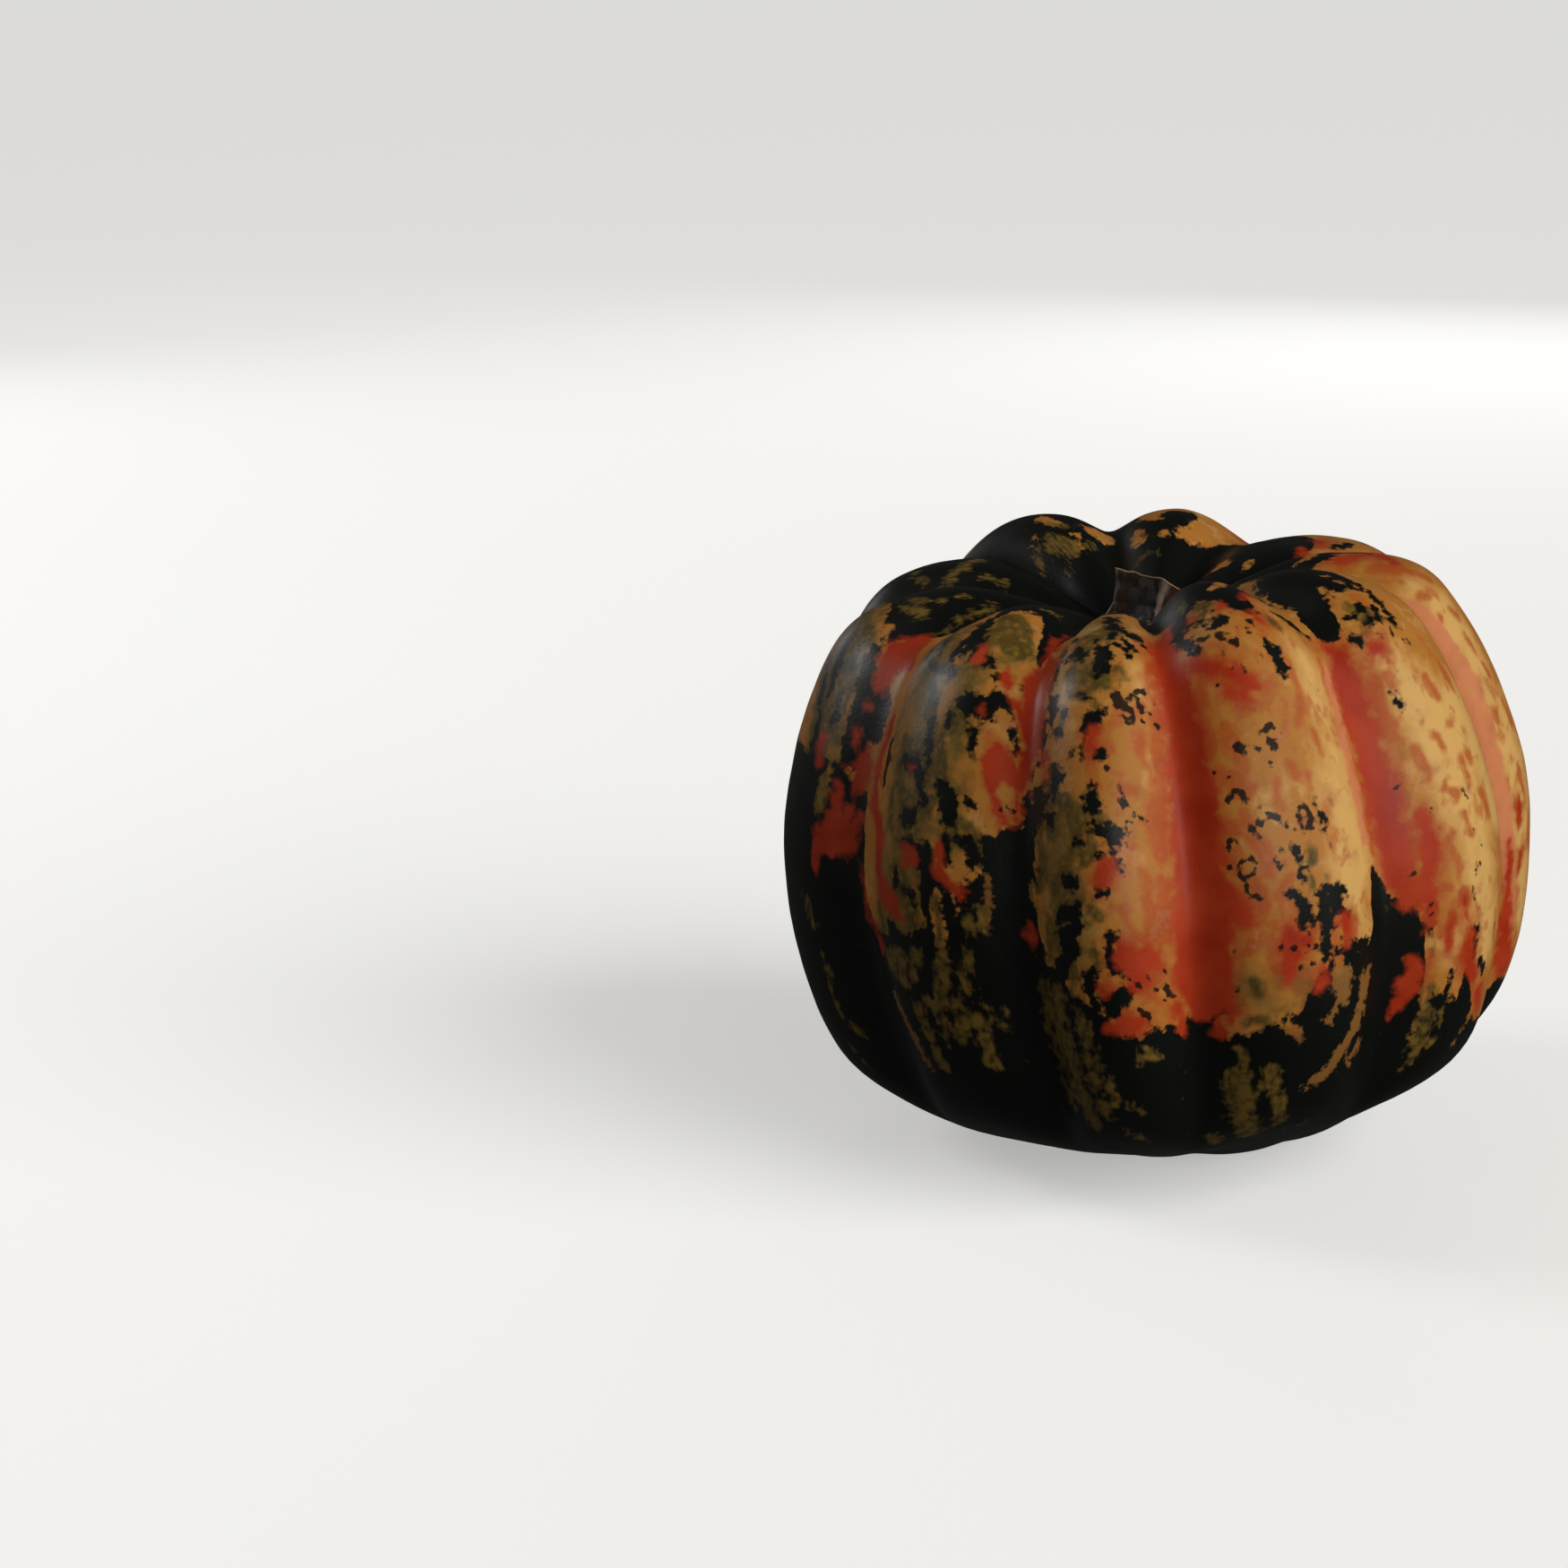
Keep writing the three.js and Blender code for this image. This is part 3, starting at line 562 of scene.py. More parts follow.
        ((77, 63, 0.9), (78, 66, 0.8)), ((77.5, 77, 0.9), (77.8, 80, 1)),
        ((74.5, 86.5, 0.9), (74, 91, 1.3)), ((76.5, 91.5, 0.9),), ((71.8, 85, 1), (72.4, 88.5, 1)),
        ((72.8, 99, 1.2),), ((75.5, 44, 2), (76.5, 48, 2.5)),
    ),
    Pigment.SPECK: (
        # Furrow between the front left and narrow front lobes
        ((-28.7, 83, 0.55),), ((-27.8, 82.3, 0.55),), ((-27, 82.5, 0.6),),
        # Narrow front lobe
        ((-9.3, 62.6, 1.2), (-8.9, 64, 1.3), (-7.5, 64.4, 0.8), (-6.7, 65.3, 0.6)), ((-7.2, 62.8, 0.8),),
        ((-7, 61.5, 0.6),), ((-6, 60.8, 0.8), (-5, 60.3, 0.7), (-4.4, 61, 0.55)),
        ((-5.8, 62.5, 0.6), (-5.3, 64.4, 0.7)), ((-3, 62, 0.5),), ((-4.2, 59.8, 0.5),),
        ((-8.3, 66.5, 0.55), (-7.7, 67.4, 0.7), (-6.8, 66.8, 0.6)), ((-5.1, 66.5, 0.55),),
        ((-2.7, 67, 0.8),), ((-4, 64.3, 0.5),), ((-9.2, 81, 0.7),), ((-9.1, 82.7, 0.8), (-8.6, 84, 1)),
        ((-7.2, 85.6, 0.55),), ((-7.6, 86.8, 0.6),), ((-6.3, 86.5, 0.6),), ((-5.6, 86.8, 0.5),),
        ((-8.3, 87.3, 0.6),), ((-8.1, 89, 0.5),), ((-8.6, 91.4, 0.7),), ((-10.8, 77, 0.6),),
        ((-8.2, 119.7, 0.8),), ((-7, 117.7, 0.5),), ((-6.1, 119.7, 0.8),),
        ((-4.5, 118.7, 0.7), (-4, 120.2, 0.9)), ((-4.6, 115.6, 0.45),), ((-6, 116.2, 0.45),),
        ((-8.3, 125.2, 0.7), (-7.5, 126.1, 0.9)), ((-7, 127.8, 0.6),), ((-5, 121.8, 0.55),),
        ((-9.6, 119, 0.5),),
        # Front right lobe
        ((9, 51.5, 0.7),), ((9.8, 54, 0.9), (10.2, 54.8, 0.9)), ((11.6, 54.6, 0.6),),
        ((6.6, 53, 1), (7.6, 53, 0.7)), ((11, 47.6, 0.7),),
        ((11.8, 56.3, 0.9), (12.4, 57.3, 0.8), (12.8, 56, 0.55)), ((9.5, 58.3, 0.55),),
        ((15.6, 54.7, 0.7),), ((13.6, 53.6, 0.45),), ((16.7, 52.3, 0.5), (17.2, 53.6, 0.6)),
        ((16.4, 60.6, 0.5),), ((10.7, 61.5, 0.5),), ((12.3, 61.6, 0.5), (12.6, 62.8, 0.5)),
        ((7.9, 63.6, 0.45),), ((9, 75.8, 0.7), (9.4, 77, 1.1), (9.8, 78, 0.8)), ((11, 77, 0.55),),
        ((12.3, 78.5, 0.65),), ((12.7, 75.3, 0.55),), ((16, 76.3, 0.45),),
        ((13.7, 75.3, 0.6), (14.6, 74.4, 0.8), (15.2, 74.6, 0.5)),
        ((14, 77, 0.8), (14.7, 78, 1.1), (15.3, 77.4, 0.6)), ((13.5, 81.5, 0.6),), ((5.5, 79, 0.5),),
        ((7.1, 81.5, 0.55),), ((6.7, 85.3, 0.8), (7.8, 84.2, 0.5)), ((8.7, 85, 0.7), (9.2, 86.3, 0.8)),
        ((10.6, 91.2, 0.9),), ((12.3, 90.8, 0.8), (13.2, 91.5, 0.9)), ((14.4, 93.2, 0.55),),
        ((15.5, 94.3, 0.5),), ((9.2, 91, 0.5), (9.7, 92.7, 0.8)), ((11.2, 88.6, 0.45),),
        ((17.9, 90, 0.6), (18.1, 92.5, 0.9), (17.9, 94.2, 0.9), (17.2, 95, 0.7)),
        ((17.4, 89.8, 0.6), (16.5, 91, 0.45), (16.4, 93, 0.45), (16.7, 94.4, 0.5)),
        ((6.2, 92, 0.6), (6, 93.8, 0.6)), ((7.3, 93, 0.55),), ((5.7, 97.3, 0.55),), ((10.5, 94.5, 0.45),),
        ((8.2, 105, 0.5),), ((8.9, 104.5, 0.5), (9.5, 105.6, 0.8)),
        ((7, 98, 0.5), (7.6, 96.8, 0.5), (8.8, 97, 0.6), (9.2, 98.6, 0.5), (8.8, 100.2, 0.5),
         (7.8, 100.8, 0.6), (7, 100, 0.5), (7, 98, 0.5)),
        ((7.8, 101.3, 0.5), (7.8, 103.5, 0.45)), ((12.5, 96.8, 0.45), (13.2, 97.8, 0.5)),
        ((12.2, 99, 0.6), (12.8, 100.3, 0.6)), ((17, 102, 0.45),), ((16, 114.2, 0.55),),
        ((13.7, 117, 0.8),), ((12, 115.3, 0.5), (11.9, 116.8, 0.55)), ((15.7, 117, 0.55),),
        ((16.8, 117.2, 0.8),), ((15.3, 118.3, 0.45),), ((14, 121.3, 0.45), (14.7, 120.7, 0.6)),
        ((16.3, 120.5, 0.65),), ((22.7, 121.3, 0.5),), ((5.6, 113.5, 0.5),), ((5.9, 122, 0.55),),
        ((6.2, 127.3, 0.55),),
        # Right lobe
        ((37.3, 86.6, 0.45),), ((36.3, 88.3, 0.65),), ((37.1, 99, 0.55),), ((40.5, 96, 0.55),),
        ((36, 105.3, 0.45), (36.8, 106, 0.5)), ((38.8, 114.5, 0.5),), ((39.2, 116, 0.55),),
        ((48.9, 111, 0.5),), ((47.8, 112, 0.55),), ((48, 108.7, 0.45),),
        ((47.5, 94.5, 0.4), (48, 97, 0.5)), ((53.7, 125.6, 0.55),),
        ((46.8, 114.5, 0.45), (47.3, 117.5, 0.5)), ((47.8, 104, 0.4),), ((49.5, 107.8, 0.4),),
    ),
}

# Ways down, as (angle, way down) by rising angle: the dark belly starts at the one and the dark crown
# ends at the other.
BELLY_EDGE: tuple[Pair, ...] = (
    (-180, 102), (-168, 112), (-158, 118), (-148, 108), (-137, 98), (-128, 110), (-115, 114), (-105, 104),
    (-98, 96), (-90, 84), (-84, 80), (-75, 82), (-70, 80), (-66, 81), (-62, 81), (-58.8, 83), (-58, 104),
    (-55, 110), (-51, 113), (-48, 112), (-44, 113), (-41, 110), (-37, 112), (-34, 104), (-31.5, 96),
    (-29.5, 86.5), (-26, 85), (-24, 88), (-23.2, 102), (-22.4, 113), (-20, 115), (-18, 121), (-15, 124),
    (-13, 127), (-11, 131), (-8.5, 131), (-7, 129), (-5.4, 128), (-4.6, 126.2), (-3.6, 127), (-3.3, 129),
    (-2.7, 128.5), (-2.4, 124.4), (-0.8, 123.2), (0.6, 124.4), (2, 124.8), (2.5, 128), (4, 131.5),
    (5, 130.5), (6.5, 131.5), (9, 132.5), (12, 131), (14.6, 130.5), (15.3, 127.4), (16.7, 125.8),
    (17.3, 122.8), (18.4, 121.8), (19.5, 119.5), (22, 118.8), (25, 118.8), (27.5, 117), (28.6, 115),
    (28.9, 103.5), (29.4, 99.8), (30.3, 101.5), (31.5, 104.5), (33, 107.5), (35, 110), (36.5, 112),
    (37.5, 115), (38.2, 118.6), (38.6, 132.5), (40.5, 134), (42, 134.5), (42.6, 131.5), (43.5, 134),
    (44.6, 138), (45.4, 133), (46.2, 132), (47.8, 137), (48.5, 140), (50, 144), (52, 146.5), (58, 147),
    (67, 146), (70, 145), (72.5, 144), (75, 145), (79, 147), (95, 150), (105, 130), (112, 118),
    (120, 112), (130, 108), (139, 116), (147, 104), (156, 112), (166, 118), (175, 110),
)
CROWN_EDGE: tuple[Pair, ...] = (
    (-180, 45), (-160, 45), (-140, 50), (-125, 54), (-110, 60), (-98, 58), (-88, 48), (-78, 46),
    (-72, 49), (-68, 54), (-65.5, 53), (-63, 49.5), (-61, 46.5), (-59.5, 45), (-58.3, 40), (-56, 36),
    (-49, 32), (-45.5, 36), (-44, 40), (-42.5, 40), (-41, 36), (-34, 33), (-31.5, 36), (-29.5, 39),
    (-28, 45), (-26.5, 50), (-25.6, 50.5), (-25.3, 38), (-24.5, 30), (-14, 31), (-10, 31), (-4.8, 31),
    (-3.8, 37), (-2.5, 38.8), (-0.8, 40), (1, 39.5), (2, 40), (2.6, 50), (4, 51.5), (5, 47), (5.8, 44),
    (8, 42), (11, 42.5), (13, 44.5), (14.3, 48), (15.5, 49.5), (17.5, 50.3), (19.3, 51), (20, 47),
    (21.5, 42.5), (24.5, 43), (26, 44.5), (27.5, 42), (29, 40), (31, 36), (31.8, 40), (32.3, 54.5),
    (34, 56.3), (36, 57), (37.2, 55.5), (38, 51), (39.5, 48.3), (41, 48.5), (43, 47.5), (45.5, 48),
    (47.5, 50), (49, 49), (50, 46), (53, 40), (60, 34), (67, 30), (72, 33), (75, 32), (80, 33.5),
    (86, 37.5), (88, 39), (95, 38), (103, 34), (112, 32), (118, 38), (125, 42), (135, 44), (147, 40),
    (150, 30), (157, 28), (160, 38), (170, 30), (178, 40),
)


@dataclass(frozen=True)
class RindFinish:
    """Waxy rind of a ripe winter squash, grown smooth under a thin natural wax.

    The wax gives a satin sheen with broad soft highlights. Under it the ground runs from cream to
    gold, the green lies in crisp blotches and in smoky olive grains, and the orange in smooth patches.
    Part of the paler cream on the right, of the darker greenish ground on the left and of the salmon
    edges of two furrows is painted light and shade.
    """

    # The cream also carries the painted light of the pale marks.
    cream: str = "#e2b064"
    gold: str = "#be7c32"
    stain: str = "#ba5a24"
    halo: str = "#b44a1c"
    rose_and_sheen: str = "#d98458"
    tan: str = "#7c5426"
    khaki_and_shade: str = "#77642c"
    olive_gold: str = "#8a6c2a"
    olive_dark: str = "#1f1c0c"
    dark_green: str = "#0b0e09"
    deep_orange: str = "#a82a0e"
    bright_orange: str = "#bc3f1a"
    speck_brown: str = "#100c09"
    ground_patch: float = 14.0  # mm across a cream or gold area
    freckle: float = 4.0  # mm across a freckle in the ground
    orange_patch: float = 9.0  # mm across a brighter area of the orange
    lump: float = 4.5  # mm, the slow waver along the edge of a blotch
    waver: float = 2.4  # mm, the quick one
    ragged: float = 1.1  # mm, the grain along that edge
    pepper: float = 1.6  # mm across the dots beside a dark blotch
    granule: float = 1.3  # mm across an olive grain
    prick: float = 1.9  # mm between the pale pinpricks in the olive
    pore: float = 0.7  # mm, the skin's own fine relief
    pore_depth: float = 0.03  # mm
    roughness: Pair = (0.34, 0.44)  # where the wax is thick and where it is thin
    gloss: float = 0.45  # specular level of the wax

    def material(self) -> bpy.types.Material:
        """Build the material.

        Returns:
            The rind's material, which reads the marks from the mesh.
        """
        material = bpy.data.materials.new("waxy_squash_rind")
        material.use_nodes = True
        tree = material.node_tree
        tree.nodes.clear()
        place = add_node(tree, "ShaderNodeTexCoord")
        spot = add_node(
            tree, "ShaderNodeMapping", None, {"Vector": place.outputs["Object"], "Scale": (1 / MM,) * 3}
        )
        flow = add_node(tree, "ShaderNodeAttribute", {"attribute_name": "flow"}).outputs["Vector"]

        # Noise fields of a real size, each spread evenly about 0
        fields: dict[str, Node] = {}
        for name, where, size in (
            ("ground", spot, self.ground_patch),
            ("freckle", spot, self.freckle),
            ("glow", spot, self.orange_patch),
            ("lump", spot, self.lump),
            ("waver", spot, self.waver),
            ("ragged", spot, self.ragged),
            ("pepper", spot, self.pepper),
            ("grain", flow, self.granule),
            ("streak", flow, self.freckle),
            ("pore", spot, self.pore),
        ):
            cloud = add_node(
                tree, "ShaderNodeTexNoise", None, {"Vector": where, "Scale": 1 / size, "Detail": 3.0}
            )
            fields[name] = add_node(
                tree,
                "ShaderNodeMapRange",
                {"clamp": False},
                {"Value": cloud, "From Min": 0.25, "From Max": 0.75, "To Min": -1.0, "To Max": 1.0},
            )
        cells = add_node(tree, "ShaderNodeTexVoronoi", None, {"Vector": spot, "Scale": 1 / self.prick})
        fields["prick"] = add_node(
            tree,
            "ShaderNodeMapRange",
            None,
            {"Value": cells, "From Min": 0.5, "From Max": 0.15, "To Min": -0.3, "To Max": 1.0},
        )
        colour = self._colour(tree, fields)
        thick, thin = self.roughness
        wax = add_node(
            tree,
            "ShaderNodeMapRange",
            None,
            {"Value": fields["glow"], "From Min": -1.0, "To Min": thick, "To Max": thin},
        )
        relief = add_node(
            tree,
            "ShaderNodeBump",
            None,
            {"Strength": 0.35, "Distance": self.pore_depth * MM, "Height": fields["pore"]},
        )
        skin = add_node(
            tree,
            "ShaderNodeBsdfPrincipled",
            None,
            {"Base Color": colour, "Roughness": wax, "Normal": relief, "Specular IOR Level": self.gloss},
        )
        add_node(tree, "ShaderNodeOutputMaterial", None, {"Surface": skin})
        return material

    def _colour(self, tree: bpy.types.NodeTree, fields: dict[str, Node]) -> Node:
        """Lay the pigments over each other.

        Args:
            tree: The material's tree.
            fields: Noise fields by name, each from -1 to 1.

        Returns:
            The node that gives the colour.
        """
        # Two pigments that run between two colours by themselves
        smoky, patchy = (("grain", 0.5), ("prick", 0.55), ("waver", 0.3)), (("glow", 1.0),)
        mottled: list[Node] = []
        for wavers, span, low, high in (
            (smoky, (-0.9, 1.0), self.olive_dark, self.olive_gold),
            (patchy, (-0.8, 0.8), self.deep_orange, self.bright_orange),
        ):
            share = self._share(tree, 0.0, [(fields[field], reach) for field, reach in wavers], span, 1.0)
            mix = add_node(
                tree,
                "ShaderNodeMix",
                {"data_type": "RGBA"},
                {"Factor_Float": share, "A_Color": linear(low), "B_Color": linear(high)},
            )
            mottled.append(mix)
        smoke, glow = mottled

        # Each layer, from the ground up: its mark, what wavers the mark and how much, where the sum
        # starts to show and where it is full, how much it covers when full, and its colour.
        layers = (
            # Paler cream: partly real, partly painted light on the lobes that face the light.
            ("pale", (("ground", 0.35), ("waver", 0.12)), (0.1, 0.9), 1.0, self.cream),
            (None, (("waver", 0.6), ("freckle", 0.6), ("ground", 0.5)), (0.1, 0.9), 0.5, self.cream),
            (None, (("streak", 0.8), ("waver", 0.4), ("ground", -0.5)), (0.3, 0.7), 0.6, self.stain),
            ("flush", (("waver", 0.3), ("lump", 0.3), ("freckle", 0.2)), (0.2, 0.85), 0.85, self.stain),
            ("stain", (("lump", 2.0), ("waver", 1.4), ("freckle", 1.2)), (-4.0, 0.2), 0.9, self.halo),
            # Salmon furrow edge: partly orange flush, partly painted sheen.
            ("rose_and_sheen", (("waver", 0.4), ("lump", 0.4)), (0.2, 0.85), 0.9, self.rose_and_sheen),
            ("belly", (("lump", 0.2),), (0.0, 0.8), 0.85, self.tan),
            # Darker greenish ground: partly real tint, partly painted shade.
            ("khaki_and_shade", (("streak", 0.35), ("waver", 0.2)), (0.3, 1.0), 0.75, self.khaki_and_shade),
            ("haze", (("waver", 0.3), ("lump", 0.3), ("grain", 0.2)), (0.35, 0.9), 0.95, smoke),
            ("olive", (("grain", 0.25), ("waver", 0.25), ("lump", 0.2)), (0.42, 0.95), 1.0, smoke),
            ("dark", (("ragged", 0.6), ("lump", 0.6), ("pepper", 0.9)), (-0.4, 0.4), 1.0, self.dark_green),
            ("glint", (("grain", 0.45), ("waver", 0.3), ("prick", 0.2)), (0.5, 1.2), 0.75, self.olive_gold),
            ("orange", (("lump", 0.9), ("waver", 0.8), ("ragged", 0.3)), (-0.8, 0.8), 1.0, glow),
            ("speck", (("ragged", 0.45),), (-0.1, 0.24), 0.95, self.speck_brown),
        )
        marks = {
            name: add_node(tree, "ShaderNodeAttribute", {"attribute_name": name}).outputs["Fac"]
            for name in dict.fromkeys(mark for mark, *_ in layers if mark)
        }
        below: Node | tuple = linear(self.gold)
        for mark, wavers, span, cover, over in layers:
            parts = [(fields[field], reach) for field, reach in wavers]
            share = self._share(tree, marks.get(mark, 0.0), parts, span, cover)
            colour = linear(over) if isinstance(over, str) else over
            below = add_node(
                tree,
                "ShaderNodeMix",
                {"data_type": "RGBA"},
                {"Factor_Float": share, "A_Color": below, "B_Color": colour},
            )
        return below

    @staticmethod
    def _share(
        tree: bpy.types.NodeTree,
        total: Socket | float,
        wavers: list[tuple[Node, float]],
        span: Pair,
        cover: float,
    ) -> Node:
        """Work out how much of a pigment shows.

        Args:
            tree: The material's tree.
            total: The mark itself, or 0 where the pigment is all over.
            wavers: Noise fields that are added to it, each with its reach.
            span: The sums where the pigment starts to show and where it is full.
            cover: How much it covers when full.

        Returns:
            The node that gives the share.
        """
        for field, reach in wavers:
            total = add_node(
                tree, "ShaderNodeMath", {"operation": "MULTIPLY_ADD"}, {0: field, 1: reach, 2: total}
            )
        return add_node(
            tree,
            "ShaderNodeMapRange",
            None,
            {"Value": total, "From Min": span[0], "From Max": span[1], "To Max": cover},
        )


@dataclass(frozen=True)
class StemFinish:
    """Dry squash stem: a corky, ridged stub that has turned grey brown, with a torn tan rim.

    The cork is dull and mottled in grey and red brown, and painted shade darkens it to near black
    towards its foot in the pit. Its ridges are paler, with a pale band beside the front one, partly
    the cork's own colour and partly painted highlight. Fine fibres run down its length.
    """

    bark: str = "#2f2925"
    grey: str = "#5a544d"
    red_brown: str = "#4c2e21"
    shade: str = "#14110e"
    ridge: str = "#8d8278"
    band: str = "#8f7263"
    grit: str = "#74654a"
    rim: str = "#b98c5c"
    pith: str = "#a58a63"
    fibre: float = 0.7  # mm between the fibres
    blotch: float = 2.6  # mm across a stain in the cork
    crumb: float = 0.8  # mm across a pale crumb
    fibre_depth: float = 0.2  # mm
    roughness: float = 0.6

    def material(self) -> bpy.types.Material:
        """Build the material.

        Returns:
            The stem's material, which reads the marks from the mesh.
        """
        material = bpy.data.materials.new("dry_corky_stem")
        material.use_nodes = True
        tree = material.node_tree
        tree.nodes.clear()
        place = add_node(tree, "ShaderNodeTexCoord").outputs["Object"]
        fields: dict[str, Node] = {}
        for name, size, along in (
            ("fibre", self.fibre, 0.2),
            ("blotch", self.blotch, 0.6),
            ("stain", 1.6 * self.blotch, 0.5),
            ("crumb", self.crumb, 1.0),
        ):
            spot = add_node(
                tree, "ShaderNodeMapping", None, {"Vector": place, "Scale": (1 / MM, 1 / MM, along / MM)}
            )
            fields[name] = add_node(
                tree, "ShaderNodeTexNoise", None, {"Vector": spot, "Scale": 1 / size, "Detail": 4.0}
            )
        marks = {
            name: add_node(tree, "ShaderNodeAttribute", {"attribute_name": name}).outputs["Fac"]
            for name in ("raised", "band", "low", "rim", "cut")
        }

        # Each layer, from the bark up: its mark, the noise added to it and how much, where the sum
        # starts to show and where it is full, and its colour.
        colour: Node | tuple = linear(self.bark)
        for mark, field, reach, start, full, over in (
            (None, "blotch", 1.0, 0.48, 0.62, self.grey),
            (None, "stain", 1.0, 0.5, 0.64, self.red_brown),
            # Painted shade: near black towards the foot, where the stem sinks into the pit.
            ("low", "blotch", 1.0, 0.75, 1.25, self.shade),
            ("low", "crumb", 1.6, 1.55, 1.75, self.grit),
            # Paler ridges: partly the cork's colour, partly painted highlight.
            ("raised", "fibre", 0.6, 1.15, 1.35, self.ridge),
            # Pale band beside the front ridge: partly the cork's colour, partly painted highlight.
            ("band", "blotch", 1.4, 1.1, 1.7, self.band),
            ("cut", "fibre", 0.3, 0.6, 1.1, self.pith),
            ("rim", "fibre", 0.6, 0.6, 1.2, self.rim),
        ):
            total = add_node(
                tree,
                "ShaderNodeMath",
                {"operation": "MULTIPLY_ADD"},
                {0: fields[field], 1: reach, 2: marks.get(mark, 0.0)},
            )
            share = add_node(
                tree, "ShaderNodeMapRange", None, {"Value": total, "From Min": start, "From Max": full}
            )
            colour = add_node(
                tree,
                "ShaderNodeMix",
                {"data_type": "RGBA"},
                {"Factor_Float": share, "A_Color": colour, "B_Color": linear(over)},
            )
        relief = add_node(
            tree,
            "ShaderNodeBump",
            None,
            {"Strength": 0.7, "Distance": self.fibre_depth * MM, "Height": fields["fibre"]},
        )
        wood = add_node(
            tree,
            "ShaderNodeBsdfPrincipled",
            None,
            {"Base Color": colour, "Roughness": self.roughness, "Normal": relief, "IOR": 1.45},
        )
        add_node(tree, "ShaderNodeOutputMaterial", None, {"Surface": wood})
        return material


@dataclass(frozen=True)
class Chart:
    """Where each point of the rind lies on it."""

    turn: np.ndarray  # degrees from the front
    down: np.ndarray  # mm down the ridge
    radius: np.ndarray  # mm from the fruit's axis

    def reach(self, strokes: tuple[Stroke, ...]) -> np.ndarray:
        """Measure how deep each point lies inside the nearest of several strokes.

        Args:
            strokes: Chains of (angle, way down, half width).

        Returns:
            Millimetres inside an edge, negative outside.
        """
        depth = np.full(self.turn.shape, -FAR)
        scale = np.radians(1) * np.maximum(self.radius, 1.0)
        for stroke in strokes:
            chain = stroke if len(stroke) > 1 else stroke * 2
            for (turn_a, down_a, half_a), (turn_b, down_b, half_b) in zip(chain, chain[1:]):
                across = ((self.turn - turn_a + 180) % 360 - 180) * scale
                along = self.down - down_a
                span = (turn_b - turn_a) * scale
                drop = down_b - down_a
                border = FAR + max(half_a, half_b)
                near = (np.abs(across) < np.abs(span) + border) & (np.abs(along) < abs(drop) + border)
                across, along, span = across[near], along[near], span[near]
                share = (across * span + along * drop) / np.maximum(span**2 + drop**2, 1e-9)
                share = np.clip(share, 0, 1)
                distance = np.hypot(across - share * span, along - share * drop)
                inside = half_a + (half_b - half_a) * share - distance
                depth[near] = np.maximum(depth[near], inside)
        return depth

    def below(self, hem: tuple[Pair, ...]) -> np.ndarray:
        """Measure how far each point lies below a line round the fruit.

        Args:
            hem: Points (angle, way down), by rising angle within one turn.

        Returns:
            Millimetres below the line, negative above it.
        """
        angles, heights = np.array(hem).T
        return self.down - np.interp(self.turn, angles, heights, period=360)


